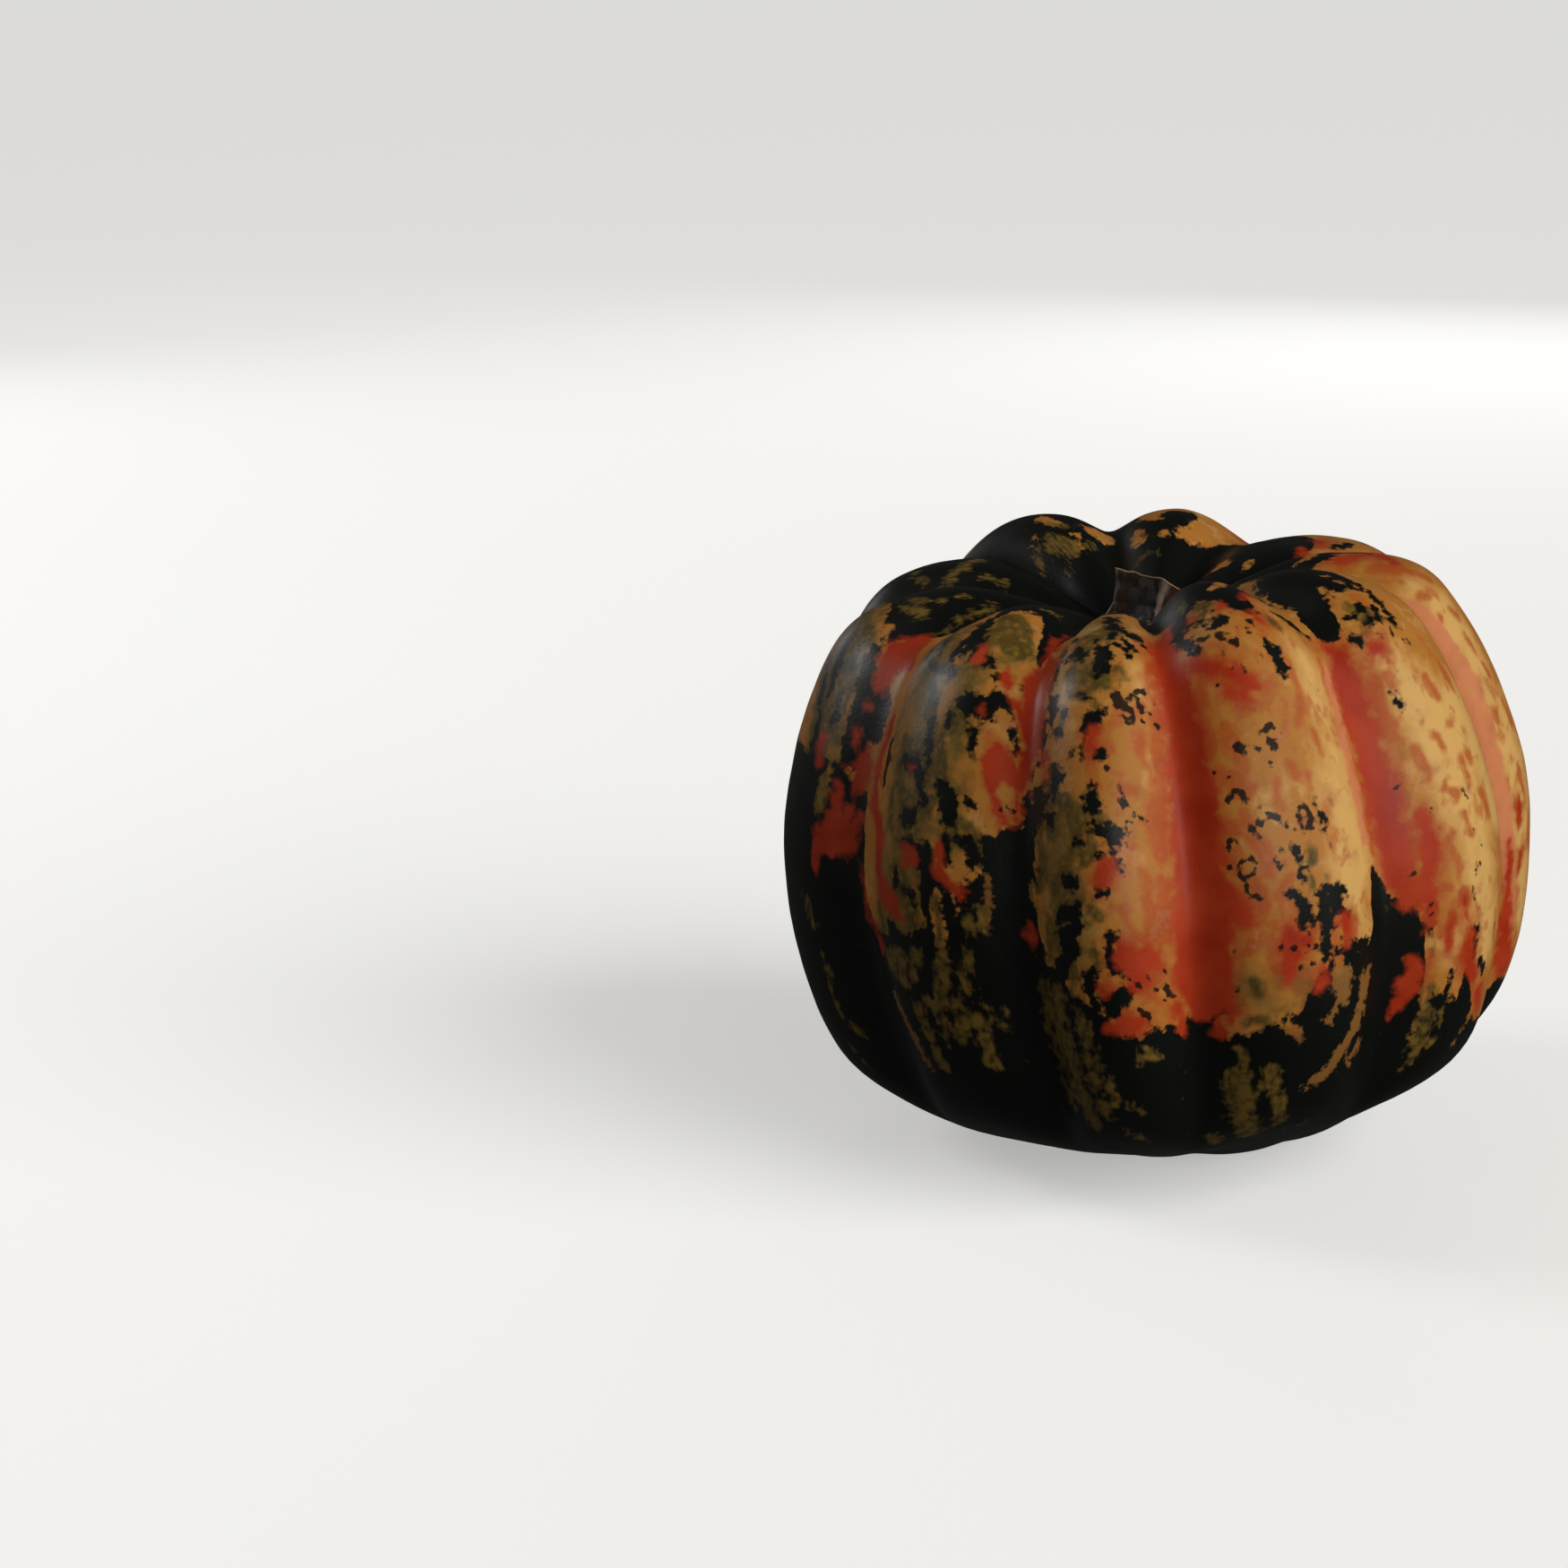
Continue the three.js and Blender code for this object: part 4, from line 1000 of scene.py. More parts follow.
@dataclass(frozen=True)
class Rind:
    """The fruit: ten swollen lobes between furrows, leaning a little to the left."""

    # Radius and height on a ridge, then in a furrow, then the share of a lobe's own crown and
    # girth, from the edge of the stem pit to the edge of the resting spot.
    stations: tuple[tuple[Pair, Pair, Pair], ...] = (
        ((9.5, 109.5), (9.5, 109.5), (0, 0)),
        ((23, 118), (20, 112.5), (0.45, 0.15)),
        ((42.5, 122.5), (42, 117.5), (1, 0.5)),
        ((64.5, 113), (61.5, 108), (0.55, 0.85)),
        ((79, 72), (73.5, 66.5), (0.1, 1)),
        ((71.5, 27), (63, 21.5), (0, 0.85)),
        ((42, 7), (43, 8), (0, 0.5)),
        ((21.5, 0), (21.5, 0), (0, 0)),
    )
    # Furrow angle, crown and girth of each lobe, anticlockwise seen from above.
    lobes: tuple[Triple, ...] = (
        (-58, -1, -1),
        (-25, -2.5, 2),
        (-0.5, 2.5, 0),
        (31.5, 0.5, -0.5),
        (67, -1.5, -1.5),
        (103, -4, 2.5),
        (147, 2.5, -0.5),
        (182, 4.5, 1),
        (223, 0, -3),
        (262, 0, 0.5),
    )
    roundness: float = 2.3  # power of the curve across a lobe
    crease: float = 0.22  # rounding of a furrow, in half lobe widths
    lent: float = 0.5  # share of its crown and girth that a neighbour lends at the furrow
    lent_power: float = 1.5  # how fast that dies away from the furrow
    lean: Pair = (-0.1, -0.01)  # sideways travel for each mm of height
    settled_height: float = 14.0  # under this the rind has settled on the table
    dent_size: float = 16.0
    dent_depth: float = 0.35
    # Grain that runs down the rind is laid out on a tube of this radius, and drawn out along it.
    grain_radius: float = 75.0
    grain_stretch: float = 0.55
    # Size and reach of the waves along a mark's edge. The hidden side, given by where it begins and
    # where it is full, has bolder ones.
    wander: tuple[Pair, ...] = ((7.0, 0.5), (2.6, 0.35))
    hidden_wander: float = 6.0
    hidden_turn: Pair = (88.0, 102.0)
    hidden_down: Pair = (44.0, 54.0)
    hidden_lobes: tuple[int, ...] = (5, 6, 7, 8)  # their sides get scattered marks
    seed: int = 7  # of the scattered marks and of the waves
    # The orange stains the ground round it, except between the middle two of these angles, where its
    # edge is crisp.
    crisp_turn: tuple[float, ...] = (-102.0, -92.0, -22.0, -12.0)
    crisp_loss: float = 4.0  # mm that the stain draws in there
    haze_reach: float = 6.0  # mm that olive smoke drifts out from the dark, over the greenish ground and its painted shade
    belly_fade: float = 6.0  # mm over which bare ground browns below the edge of the belly
    glint_fade: float = 4.0  # mm into the crown or belly, to where the gold grains in it are full
    # Columns of faces on each lobe, closer together where the marks are finest.
    lobe_columns: tuple[int, ...] = (84, 72, 84, 84, 56, 34, 34, 34, 34, 60)
    # Rows of faces on the pit floor, then down to each of these ways, then on the resting spot.
    pit_rows: int = 4
    rail_rows: tuple[tuple[float, int], ...] = ((0.143, 20), (0.72, 118), (1.0, 22))
    base_rows: int = 6
    seam: float = 0.002  # mm within which the edges of the bent grid are joined
    finish: RindFinish = RindFinish()

    def start_mesh(self) -> bpy.types.Mesh:
        """Make the mesh that the tree reads.

        Returns:
            Loose points that hold the columns, the rows and the lobes, then the ridge as a chain.
        """
        columns = [lobe + np.arange(count) / count for lobe, count in enumerate(self.lobe_columns)]
        columns = np.concatenate([*columns, [len(self.lobes)]])
        along = [np.zeros(self.pit_rows)]
        done = 0.0
        for end, count in self.rail_rows:
            along.append(np.linspace(done, end, count, endpoint=False))
            done = end
        along.append(np.ones(self.base_rows + 1))
        along = np.concatenate(along)
        lids = np.ones(len(along))
        lids[: self.pit_rows] = np.arange(self.pit_rows) / self.pit_rows
        lids[-self.base_rows :] = np.arange(self.base_rows)[::-1] / self.base_rows
        first = len(columns)
        count = first + len(self.stations)
        ridge = [(r * MM, z * MM, 0) for (r, z), _, _ in self.stations]
        mesh = bpy.data.meshes.new("rind_rule")
        mesh.from_pydata([(0, 0, 0)] * first + ridge, [(i, i + 1) for i in range(first, count - 1)], [])
        furrows, crowns, girths = np.array(self.lobes, float).T
        starts = np.radians(furrows)
        tables = {
            "column": np.zeros(count),
            "row": np.zeros((count, 3)),
            "lobe": np.zeros((count, 3)),
            "width": np.zeros(count),
            "furrow": np.zeros((count, 3)),
            "share": np.zeros((count, 3)),
        }
        tables["column"][:first] = columns
        tables["row"][: len(along), :2] = np.column_stack([along, lids])
        tables["lobe"][: len(starts)] = np.column_stack([starts, crowns * MM, girths * MM])
        tables["width"][: len(starts)] = np.diff(starts, append=starts[0] + 2 * math.pi)
        tables["furrow"][first:, :2] = [(r * MM, z * MM) for _, (r, z), _ in self.stations]
        tables["share"][first:, :2] = [share for _, _, share in self.stations]
        for name, values in tables.items():
            write_attribute(mesh, name, values)
        return mesh

    def tree(self) -> bpy.types.NodeTree:
        """Build the tree that bends a flat grid into the ribbed rind.

        Returns:
            The tree, which reads the rule's mesh and takes its sizes as named inputs.
        """
        number, whole = "NodeSocketFloat", "NodeSocketInt"
        tree, size = start_tree(
            "ribbed rind",
            {
                "Lobes": whole,
                "Columns": whole,
                "Rows": whole,
                "Roundness": number,
                "Crease": number,
                "Lean": "NodeSocketVector",
                "Settled Height": number,
                "Dent Size": number,
                "Dent Depth": number,
                "Material": "NodeSocketMaterial",
            },
        )
        rule = size.outputs["Geometry"]
        math_node = "ShaderNodeMath"
        plain, vector = {"data_type": "FLOAT"}, {"data_type": "FLOAT_VECTOR"}

        # Place in the grid: number of the column and of the row
        corners_x = add_node(tree, math_node, {"operation": "ADD"}, {0: size.outputs["Columns"], 1: 1.0})
        corners_y = add_node(tree, math_node, {"operation": "ADD"}, {0: size.outputs["Rows"], 1: 1.0})
        grid = add_node(
            tree,
            "GeometryNodeMeshGrid",
            None,
            {"Size X": 1.0, "Size Y": 1.0, "Vertices X": corners_x, "Vertices Y": corners_y},
        )
        flat = add_node(tree, "GeometryNodeInputPosition")
        flat = add_node(tree, "ShaderNodeSeparateXYZ", None, {0: flat})
        place: list[Node] = []
        for axis, total in (("X", "Columns"), ("Y", "Rows")):
            share = add_node(tree, math_node, {"operation": "ADD"}, {0: flat.outputs[axis], 1: 0.5})
            step = add_node(tree, math_node, {"operation": "MULTIPLY"}, {0: share, 1: size.outputs[total]})
            place.append(add_node(tree, math_node, {"operation": "ROUND"}, {0: step}))
        column = add_node(tree, "GeometryNodeInputNamedAttribute", plain, {"Name": "column"})
        turn = add_node(
            tree, "GeometryNodeSampleIndex", plain, {"Geometry": rule, "Value": column, "Index": place[0]}
        )
        row = add_node(tree, "GeometryNodeInputNamedAttribute", vector, {"Name": "row"})
        row = add_node(
            tree, "GeometryNodeSampleIndex", vector, {"Geometry": rule, "Value": row, "Index": place[1]}
        )
        row = add_node(tree, "ShaderNodeSeparateXYZ", None, {0: row})
        along, lid = row.outputs["X"], row.outputs["Y"]

        # Lobe, and place across it from -1 to 1
        last = add_node(tree, math_node, {"operation": "SUBTRACT"}, {0: size.outputs["Lobes"], 1: 1.0})
        index = add_node(tree, math_node, {"operation": "FLOOR"}, {0: turn})
        index = add_node(tree, math_node, {"operation": "MINIMUM"}, {0: index, 1: last})
        part = add_node(tree, math_node, {"operation": "SUBTRACT"}, {0: turn, 1: index})
        across = add_node(tree, math_node, {"operation": "MULTIPLY_ADD"}, {0: part, 1: 2.0, 2: -1.0})
        off = add_node(tree, math_node, {"operation": "ABSOLUTE"}, {0: across})
        side = add_node(tree, math_node, {"operation": "SIGN"}, {0: across})
        beside = add_node(tree, math_node, {"operation": "ADD"}, {0: index, 1: side})
        beside = add_node(
            tree, math_node, {"operation": "FLOORED_MODULO"}, {0: beside, 1: size.outputs["Lobes"]}
        )
        lobe = add_node(tree, "GeometryNodeInputNamedAttribute", vector, {"Name": "lobe"})
        own, other = (
            add_node(
                tree, "GeometryNodeSampleIndex", vector, {"Geometry": rule, "Value": lobe, "Index": which}
            )
            for which in (index, beside)
        )
        width = add_node(tree, "GeometryNodeInputNamedAttribute", plain, {"Name": "width"})
        width = add_node(
            tree, "GeometryNodeSampleIndex", plain, {"Geometry": rule, "Value": width, "Index": index}
        )
        lent = add_node(tree, math_node, {"operation": "POWER"}, {0: off, 1: self.lent_power})
        lent = add_node(tree, math_node, {"operation": "MULTIPLY"}, {0: lent, 1: self.lent})
        mixed = add_node(
            tree,
            "ShaderNodeMix",
            {"data_type": "VECTOR"},
            {"Factor_Float": lent, "A_Vector": own, "B_Vector": other},
        )
        mixed = add_node(tree, "ShaderNodeSeparateXYZ", None, {0: mixed})
        start = add_node(tree, "ShaderNodeSeparateXYZ", None, {0: own})
        angle = add_node(
            tree, math_node, {"operation": "MULTIPLY_ADD"}, {0: part, 1: width, 2: start.outputs["X"]}
        )

        # Swell from furrow (0) to ridge (1), with a softly rounded crease
        crease = size.outputs["Crease"]
        crease_sq = add_node(tree, math_node, {"operation": "MULTIPLY"}, {0: crease, 1: crease})
        inset = add_node(tree, math_node, {"operation": "SUBTRACT"}, {0: 1.0, 1: off})
        inset = add_node(tree, math_node, {"operation": "MULTIPLY_ADD"}, {0: inset, 1: inset, 2: crease_sq})
        inset = add_node(tree, math_node, {"operation": "SQRT"}, {0: inset})
        inset = add_node(tree, math_node, {"operation": "SUBTRACT"}, {0: inset, 1: crease})
        whole_inset = add_node(tree, math_node, {"operation": "ADD"}, {0: 1.0, 1: crease_sq})
        whole_inset = add_node(tree, math_node, {"operation": "SQRT"}, {0: whole_inset})
        whole_inset = add_node(tree, math_node, {"operation": "SUBTRACT"}, {0: whole_inset, 1: crease})
        swell = add_node(tree, math_node, {"operation": "DIVIDE"}, {0: inset, 1: whole_inset})
        swell = add_node(tree, math_node, {"operation": "SUBTRACT", "use_clamp": True}, {0: 1.0, 1: swell})
        swell = add_node(tree, math_node, {"operation": "POWER"}, {0: swell, 1: size.outputs["Roundness"]})
        swell = add_node(tree, math_node, {"operation": "SUBTRACT"}, {0: 1.0, 1: swell})

        # Way down the rind, between the ridge and the furrow
        rail = add_node(tree, "GeometryNodeMeshToCurve", None, {0: rule})
        rail = add_node(tree, "GeometryNodeCurveSplineType", {"spline_type": "CATMULL_ROM"}, {0: rail})
        rail = add_node(tree, "GeometryNodeSetSplineResolution", None, {"Geometry": rail, "Resolution": 32})
        sampled: list[Node] = []
        for name in ("furrow", "share"):
            value = add_node(tree, "GeometryNodeInputNamedAttribute", vector, {"Name": name})
            value = add_node(
                tree, "GeometryNodeSampleCurve", vector, {"Curves": rail, "Value": value, "Factor": along}
            )
            sampled.append(value)
        furrow, share = sampled
        share = add_node(tree, "ShaderNodeSeparateXYZ", None, {0: share})
        section = add_node(
            tree,
            "ShaderNodeMix",
            {"data_type": "VECTOR"},
            {"Factor_Float": swell, "A_Vector": furrow, "B_Vector": furrow.outputs["Position"]},
        )
        section = add_node(tree, "ShaderNodeSeparateXYZ", None, {0: section})
        radius = add_node(
            tree,
            math_node,
            {"operation": "MULTIPLY_ADD"},
            {0: mixed.outputs["Z"], 1: share.outputs["Y"], 2: section.outputs["X"]},
        )
        radius = add_node(tree, math_node, {"operation": "MULTIPLY"}, {0: radius, 1: lid})
        height = add_node(
            tree,
            math_node,
            {"operation": "MULTIPLY_ADD"},
            {0: mixed.outputs["Y"], 1: share.outputs["X"], 2: section.outputs["Y"]},
        )

        # Upright point, then leaned
        sine = add_node(tree, math_node, {"operation": "SINE"}, {0: angle})
        cosine = add_node(tree, math_node, {"operation": "COSINE"}, {0: angle})
        x = add_node(tree, math_node, {"operation": "MULTIPLY"}, {0: radius, 1: sine})
        y = add_node(tree, math_node, {"operation": "MULTIPLY"}, {0: radius, 1: cosine})
        y = add_node(tree, math_node, {"operation": "MULTIPLY"}, {0: y, 1: -1.0})
        upright = add_node(tree, "ShaderNodeCombineXYZ", None, {0: x, 1: y, 2: height})
        lean = add_node(tree, "ShaderNodeSeparateXYZ", None, {0: size.outputs["Lean"]})
        tip = add_node(
            tree,
            "ShaderNodeVectorMath",
            {"operation": "DOT_PRODUCT"},
            {0: size.outputs["Lean"], 1: upright},
        )
        free = add_node(
            tree,
            "ShaderNodeMapRange",
            {"interpolation_type": "SMOOTHSTEP"},
            {"Value": height, "From Max": size.outputs["Settled Height"]},
        )
        drop = add_node(tree, math_node, {"operation": "MULTIPLY"}, {0: tip.outputs["Value"], 1: free})
        leaned_x = add_node(
            tree, math_node, {"operation": "MULTIPLY_ADD"}, {0: height, 1: lean.outputs["X"], 2: x}
        )
        leaned_y = add_node(
            tree, math_node, {"operation": "MULTIPLY_ADD"}, {0: height, 1: lean.outputs["Y"], 2: y}
        )
        leaned_z = add_node(tree, math_node, {"operation": "SUBTRACT"}, {0: height, 1: drop})
        leaned = add_node(tree, "ShaderNodeCombineXYZ", None, {0: leaned_x, 1: leaned_y, 2: leaned_z})

        # Marks for the paint, kept before the grid is bent
        kept = grid
        length = add_node(tree, "GeometryNodeCurveLength", None, {0: rail})
        down = add_node(tree, math_node, {"operation": "MULTIPLY"}, {0: along, 1: length})
        for name, kind, value in (("upright", vector, upright), ("down", plain, down)):
            kept = add_node(
                tree,
                "GeometryNodeStoreNamedAttribute",
                kind,
                {"Geometry": kept, "Name": name, "Value": value},
            )
        bent = add_node(tree, "GeometryNodeSetPosition", None, {"Geometry": kept, "Position": leaned})
        closed = add_node(
            tree, "GeometryNodeMergeByDistance", None, {"Geometry": bent, "Distance": self.seam * MM}
        )

        # Slow dents, fading out where the fruit rests
        grain = add_node(tree, math_node, {"operation": "DIVIDE"}, {0: 1.0, 1: size.outputs["Dent Size"]})
        dents = add_node(
            tree, "ShaderNodeTexNoise", None, {"Scale": grain, "Detail": 2.0, "Roughness": 0.4}
        )
        dents = add_node(
            tree, "ShaderNodeMapRange", {"clamp": False}, {"Value": dents, "To Min": -1.0, "To Max": 1.0}
        )
        spot = add_node(tree, "GeometryNodeInputPosition")
        spot = add_node(tree, "ShaderNodeSeparateXYZ", None, {0: spot})
        fade = add_node(
            tree,
            "ShaderNodeMapRange",
            {"interpolation_type": "SMOOTHSTEP"},
            {"Value": spot.outputs["Z"], "From Min": 1 * MM, "From Max": size.outputs["Settled Height"]},
        )
        for factor in (fade, size.outputs["Dent Depth"]):
            dents = add_node(tree, math_node, {"operation": "MULTIPLY"}, {0: dents, 1: factor})
        push = add_node(
            tree,
            "ShaderNodeVectorMath",
            {"operation": "SCALE"},
            {0: add_node(tree, "GeometryNodeInputNormal"), "Scale": dents},
        )
        dented = add_node(tree, "GeometryNodeSetPosition", None, {"Geometry": closed, "Offset": push})
        smooth = add_node(tree, "GeometryNodeSetShadeSmooth", None, {"Geometry": dented})
        real = add_node(tree, "GeometryNodeRealizeInstances", None, {"Geometry": smooth})
        dressed = add_node(
            tree, "GeometryNodeSetMaterial", None, {"Geometry": real, "Material": size.outputs["Material"]}
        )
        add_node(tree, "NodeGroupOutput", None, {0: dressed})
        return tree

    def build(self) -> bpy.types.Object:
        """Grow the rind and paint its marks.

        Returns:
            The finished piece.
        """
        rows = self.pit_rows + sum(count for _, count in self.rail_rows) + self.base_rows
        piece = run_tree(
            "rind",
            self.start_mesh(),
            self.tree(),
            {
                "Lobes": len(self.lobes),
                "Columns": sum(self.lobe_columns),
                "Rows": rows,
                "Roundness": self.roundness,
                "Crease": self.crease,
                "Lean": (*self.lean, 0.0),
                "Settled Height": self.settled_height * MM,
                "Dent Size": self.dent_size * MM,
                "Dent Depth": self.dent_depth * MM,
                "Material": self.finish.material(),
            },
        )
        self.paint(piece.data)
        return piece

    def hidden_marks(self) -> dict[Pigment, list[Stroke]]:
        """Scatter marks on the sides of the lobes behind, in the manner of the front.

        Returns:
            Strokes of each pigment, the same on each run.
        """
        chance = np.random.default_rng(self.seed)
        flank, under = (50, 112), (112, 140)  # ways down: on the side, and inside the dark belly
        band_ways = np.linspace(52, 112, 7)
        clear = 4  # degrees that the marks keep from a furrow
        marks: dict[Pigment, list[Stroke]] = {pigment: [] for pigment in Pigment}
        for lobe in self.hidden_lobes:
            start, end = self.lobes[lobe][0], self.lobes[lobe + 1][0]
            band = [(end + chance.uniform(-1.2, 1.2), way, chance.uniform(1.8, 4.2)) for way in band_ways]
            marks[Pigment.ORANGE].append(tuple(band))
            # Each pigment, how many strokes on a lobe, and their smallest and largest half width
            for pigment, count, low, high in (
                (Pigment.ORANGE, 4, 0.9, 2.2),
                (Pigment.DARK, 22, 0.8, 2.4),
                (Pigment.OLIVE, 8, 2.0, 4.0),
                (Pigment.KHAKI_AND_SHADE, 3, 4.0, 8.0),
                (Pigment.FLUSH, 12, 0.8, 1.6),
                (Pigment.BARE, 6, 0.8, 1.6),
                (Pigment.SPECK, 14, 0.5, 0.9),
            ):
                for _ in range(count):
                    turn = chance.uniform(start + clear, end - clear)
                    way = chance.uniform(*(under if pigment is Pigment.BARE else flank))
                    half = chance.uniform(low, high)
                    slant, drop = chance.uniform(-2, 2), chance.uniform(1, 8) * half / high
                    marks[pigment].append(((turn, way, half), (turn + slant, way + drop, half * 0.8)))
        return marks

    def paint(self, mesh: bpy.types.Mesh) -> None:
        """Write the pigments of each point into the mesh.

        Args:
            mesh: The rind, with the place of each point on it.
        """
        upright = read_attribute(mesh, "upright", 3) / MM
        down = read_attribute(mesh, "down", 1) / MM
        turn = np.degrees(np.arctan2(upright[:, 0], -upright[:, 1]))
        radius = np.hypot(upright[:, 0], upright[:, 1])
        angle = np.radians(turn)
        round_tube = self.grain_radius * np.column_stack([np.sin(angle), -np.cos(angle)])
        write_attribute(mesh, "flow", np.column_stack([round_tube, down * self.grain_stretch]))

        noise.seed_set(self.seed)  # without a seed this noise starts from the clock
        wander = sum(
            reach * np.array([noise.noise_vector(Vector(point) / size) for point in upright])
            for size, reach in self.wander
        )
        hidden = np.interp(np.abs(turn), self.hidden_turn, (0, 1))
        hidden *= np.interp(down, self.hidden_down, (0, 1))
        wander *= 1 + self.hidden_wander * hidden[:, None]
        axle = 10.0  # mm, the radius under which the angle wanders no wider
        turned = turn + np.degrees(wander[:, 0] / np.maximum(radius, axle))
        chart = Chart(turned, down + wander[:, 1], radius)
        scattered = self.hidden_marks()
        depth = {mark: chart.reach((*SEEN_MARKS[mark], *scattered[mark])) for mark in Pigment}
        belly = chart.below(BELLY_EDGE)
        deep = np.maximum(belly, -chart.below(CROWN_EDGE))
        dark = np.maximum(depth[Pigment.DARK], deep)
        depth[Pigment.DARK] = np.minimum(dark, -depth[Pigment.BARE])
        soft = {mark: np.clip(0.5 + depth[mark] / blur, 0, 1) for mark, blur in BLURS.items()}
        stain = depth[Pigment.ORANGE] - self.crisp_loss * np.interp(turn, self.crisp_turn, (0, 1, 1, 0))
        near = np.interp(depth[Pigment.DARK], (-self.haze_reach, 0), (0, 1))
        inks = {mark.value: depth[mark] for mark in (Pigment.DARK, Pigment.ORANGE, Pigment.SPECK)}
        inks = {name: np.clip(ink, -FAR, FAR) for name, ink in (*inks.items(), ("stain", stain))}
        inks |= {mark.value: share for mark, share in soft.items()}
        inks["haze"] = soft[Pigment.KHAKI_AND_SHADE] * near
        inks["belly"] = np.interp(belly, (0, self.belly_fade), (0, 1))
        inks["glint"] = soft[Pigment.OLIVE] * np.interp(deep, (0, self.glint_fade), (0, 1))
        for name, ink in inks.items():
            write_attribute(mesh, name, ink)


@dataclass(frozen=True)
class Stem:
    """Short dry stub in the pit, cut off on a slant, with five sharp ridges."""

    pit_floor: float = 109.5
    sunk: float = 0.8  # the foot grows out of the pit floor
    radii: tuple[float, ...] = (7.9, 7.2, 7.1, 8.5, 12.0)  # from the cut down to the flared foot
    ridges: int = 5
    ridge_turn: float = -63.0  # the first ridge, in degrees from the front
    ridge_height: float = 0.15  # share of the radius, out on a ridge and in at a hollow
    height: float = 8.7  # on the axis, to the slanted cut
    cut_slope: Pair = (-0.42, -0.3)  # falls to the right and to the back
    cut_fall: float = 0.03  # how the cut curls down on the right
    band_turn: float = 14.0  # a pale band runs down beside the front ridge, partly painted highlight
    band_width: Pair = (6.0, 13.0)  # degrees, at the cut and at the foot
    torn: float = 0.12  # mm that the rim's tears stand up
    tears: tuple[Triple, ...] = ((9, 1, 1), (17, 0, 0.6))  # count round the rim, turn and share
    rim_fade: Pair = (22.0, 8.0)  # how fast the pale rim fades, down the side and in over the cut
    offset: float = 3.6  # the top stands this far to the right of the foot
    lean: Pair = (-0.1, -0.01)  # with the fruit
    columns: int = 240
    side_rows: int = 60
    cut_rows: int = 16
    dish: float = 1.3  # mm that the cut face has sunk in drying
    finish: StemFinish = StemFinish()

    def build(self) -> bpy.types.Object:
        """Model the stub ring by ring, from the foot up and in over the cut face.

        Returns:
            The finished piece.
        """
        angles = np.radians(self.ridge_turn) + np.linspace(0, 2 * math.pi, self.columns, endpoint=False)
        hollow = np.abs(np.sin(self.ridges * (angles - np.radians(self.ridge_turn)) / 2))
        beside = np.degrees(np.angle(np.exp(1j * (angles - np.radians(self.band_turn)))))
        rows: list[np.ndarray] = []
        marks: dict[str, list[np.ndarray]] = {name: [] for name in ("raised", "band", "low", "rim", "cut")}
        steps = [(1 - step / self.side_rows, 1.0) for step in range(self.side_rows + 1)]
        steps += [(0.0, 1 - step / self.cut_rows) for step in range(1, self.cut_rows + 1)]
        for down, share in steps:
            rows.append(self._ring(angles, hollow, down, share))
            width = np.interp(down, (0, 1), self.band_width)
            marks["raised"].append(1 - hollow)
            marks["band"].append(np.clip(1.2 - np.abs(beside) / width, 0, 1))
            # 0 at the cut, 1 at the foot; it lays on the painted shade and the grit.
            marks["low"].append(np.full(self.columns, down))
            rim = 1 - down * self.rim_fade[0] - (1 - share) * self.rim_fade[1]
            marks["rim"].append(np.full(self.columns, max(0.0, rim)))
            marks["cut"].append(np.full(self.columns, float(share < 1)))
        points = np.concatenate(rows)
        faces: list[tuple[int, ...]] = []
        for row in range(len(rows) - 1):
            for side in range(self.columns):
                after = (side + 1) % self.columns
                low, high = row * self.columns, (row + 1) * self.columns
                faces.append((low + side, low + after, high + after, high + side))
        faces.append(tuple(reversed(range(self.columns))))
        mesh = bpy.data.meshes.new("stem_stub")
        mesh.from_pydata((points * MM).tolist(), [], faces)
        for name, values in marks.items():
            write_attribute(mesh, name, np.concatenate(values))
        mesh.polygons.foreach_set("use_smooth", [True] * len(mesh.polygons))
        mesh.materials.append(self.finish.material())
        piece = bpy.data.objects.new("stem_stub", mesh)
        bpy.context.scene.collection.objects.link(piece)
        return piece

    def _ring(self, angles: np.ndarray, hollow: np.ndarray, down: float, share: float) -> np.ndarray:
        """Work out one ring of points.

        Args:
            angles: Angle of each point from the front, in radians.
            hollow: 0 on a ridge and 1 in the middle of a hollow.
            down: 0 at the cut and 1 at the foot.
            share: Share of the radius, under 1 on the cut face.

        Returns:
            Points in millimetres, leaned with the fruit.
        """
        place = down * (len(self.radii) - 1)
        radius = np.interp(place, range(len(self.radii)), self.radii)
        reach = share * radius * (1 + self.ridge_height * (1 - 2 * hollow))
        x = reach * np.sin(angles)
        y = -reach * np.cos(angles)
        top = self.height + self.cut_slope[0] * x + self.cut_slope[1] * y
        top = top - self.cut_fall * np.maximum(x, 0) ** 2
        waves = sum(part * np.sin(count * angles + turn) for count, turn, part in self.tears)
        top = top + self.torn * waves * share
        rise = (1 - down) * top
        z = self.pit_floor - self.sunk * down + rise - self.dish * (1 - share**2)
        x = x + self.offset * (1 - down)
        tip = self.lean[0] * x + self.lean[1] * y
        return np.column_stack([x + self.lean[0] * z, y + self.lean[1] * z, z - tip])


@dataclass(frozen=True)
class Softbox:
    """A square studio light that faces the fruit."""

    name: str
    place: Triple  # metres
    size: float  # metres
    power: float  # watts
    glossy: bool = True  # whether the wax mirrors it

    def build(self, target: Vector) -> None:
        """Hang the light.

        Args:
            target: The point that it faces.
        """
        lamp = bpy.data.lights.new(self.name, "AREA")
        lamp.shape = "SQUARE"
        lamp.size = self.size
        lamp.energy = self.power
        hang(lamp, self.place, target).visible_glossy = self.glossy


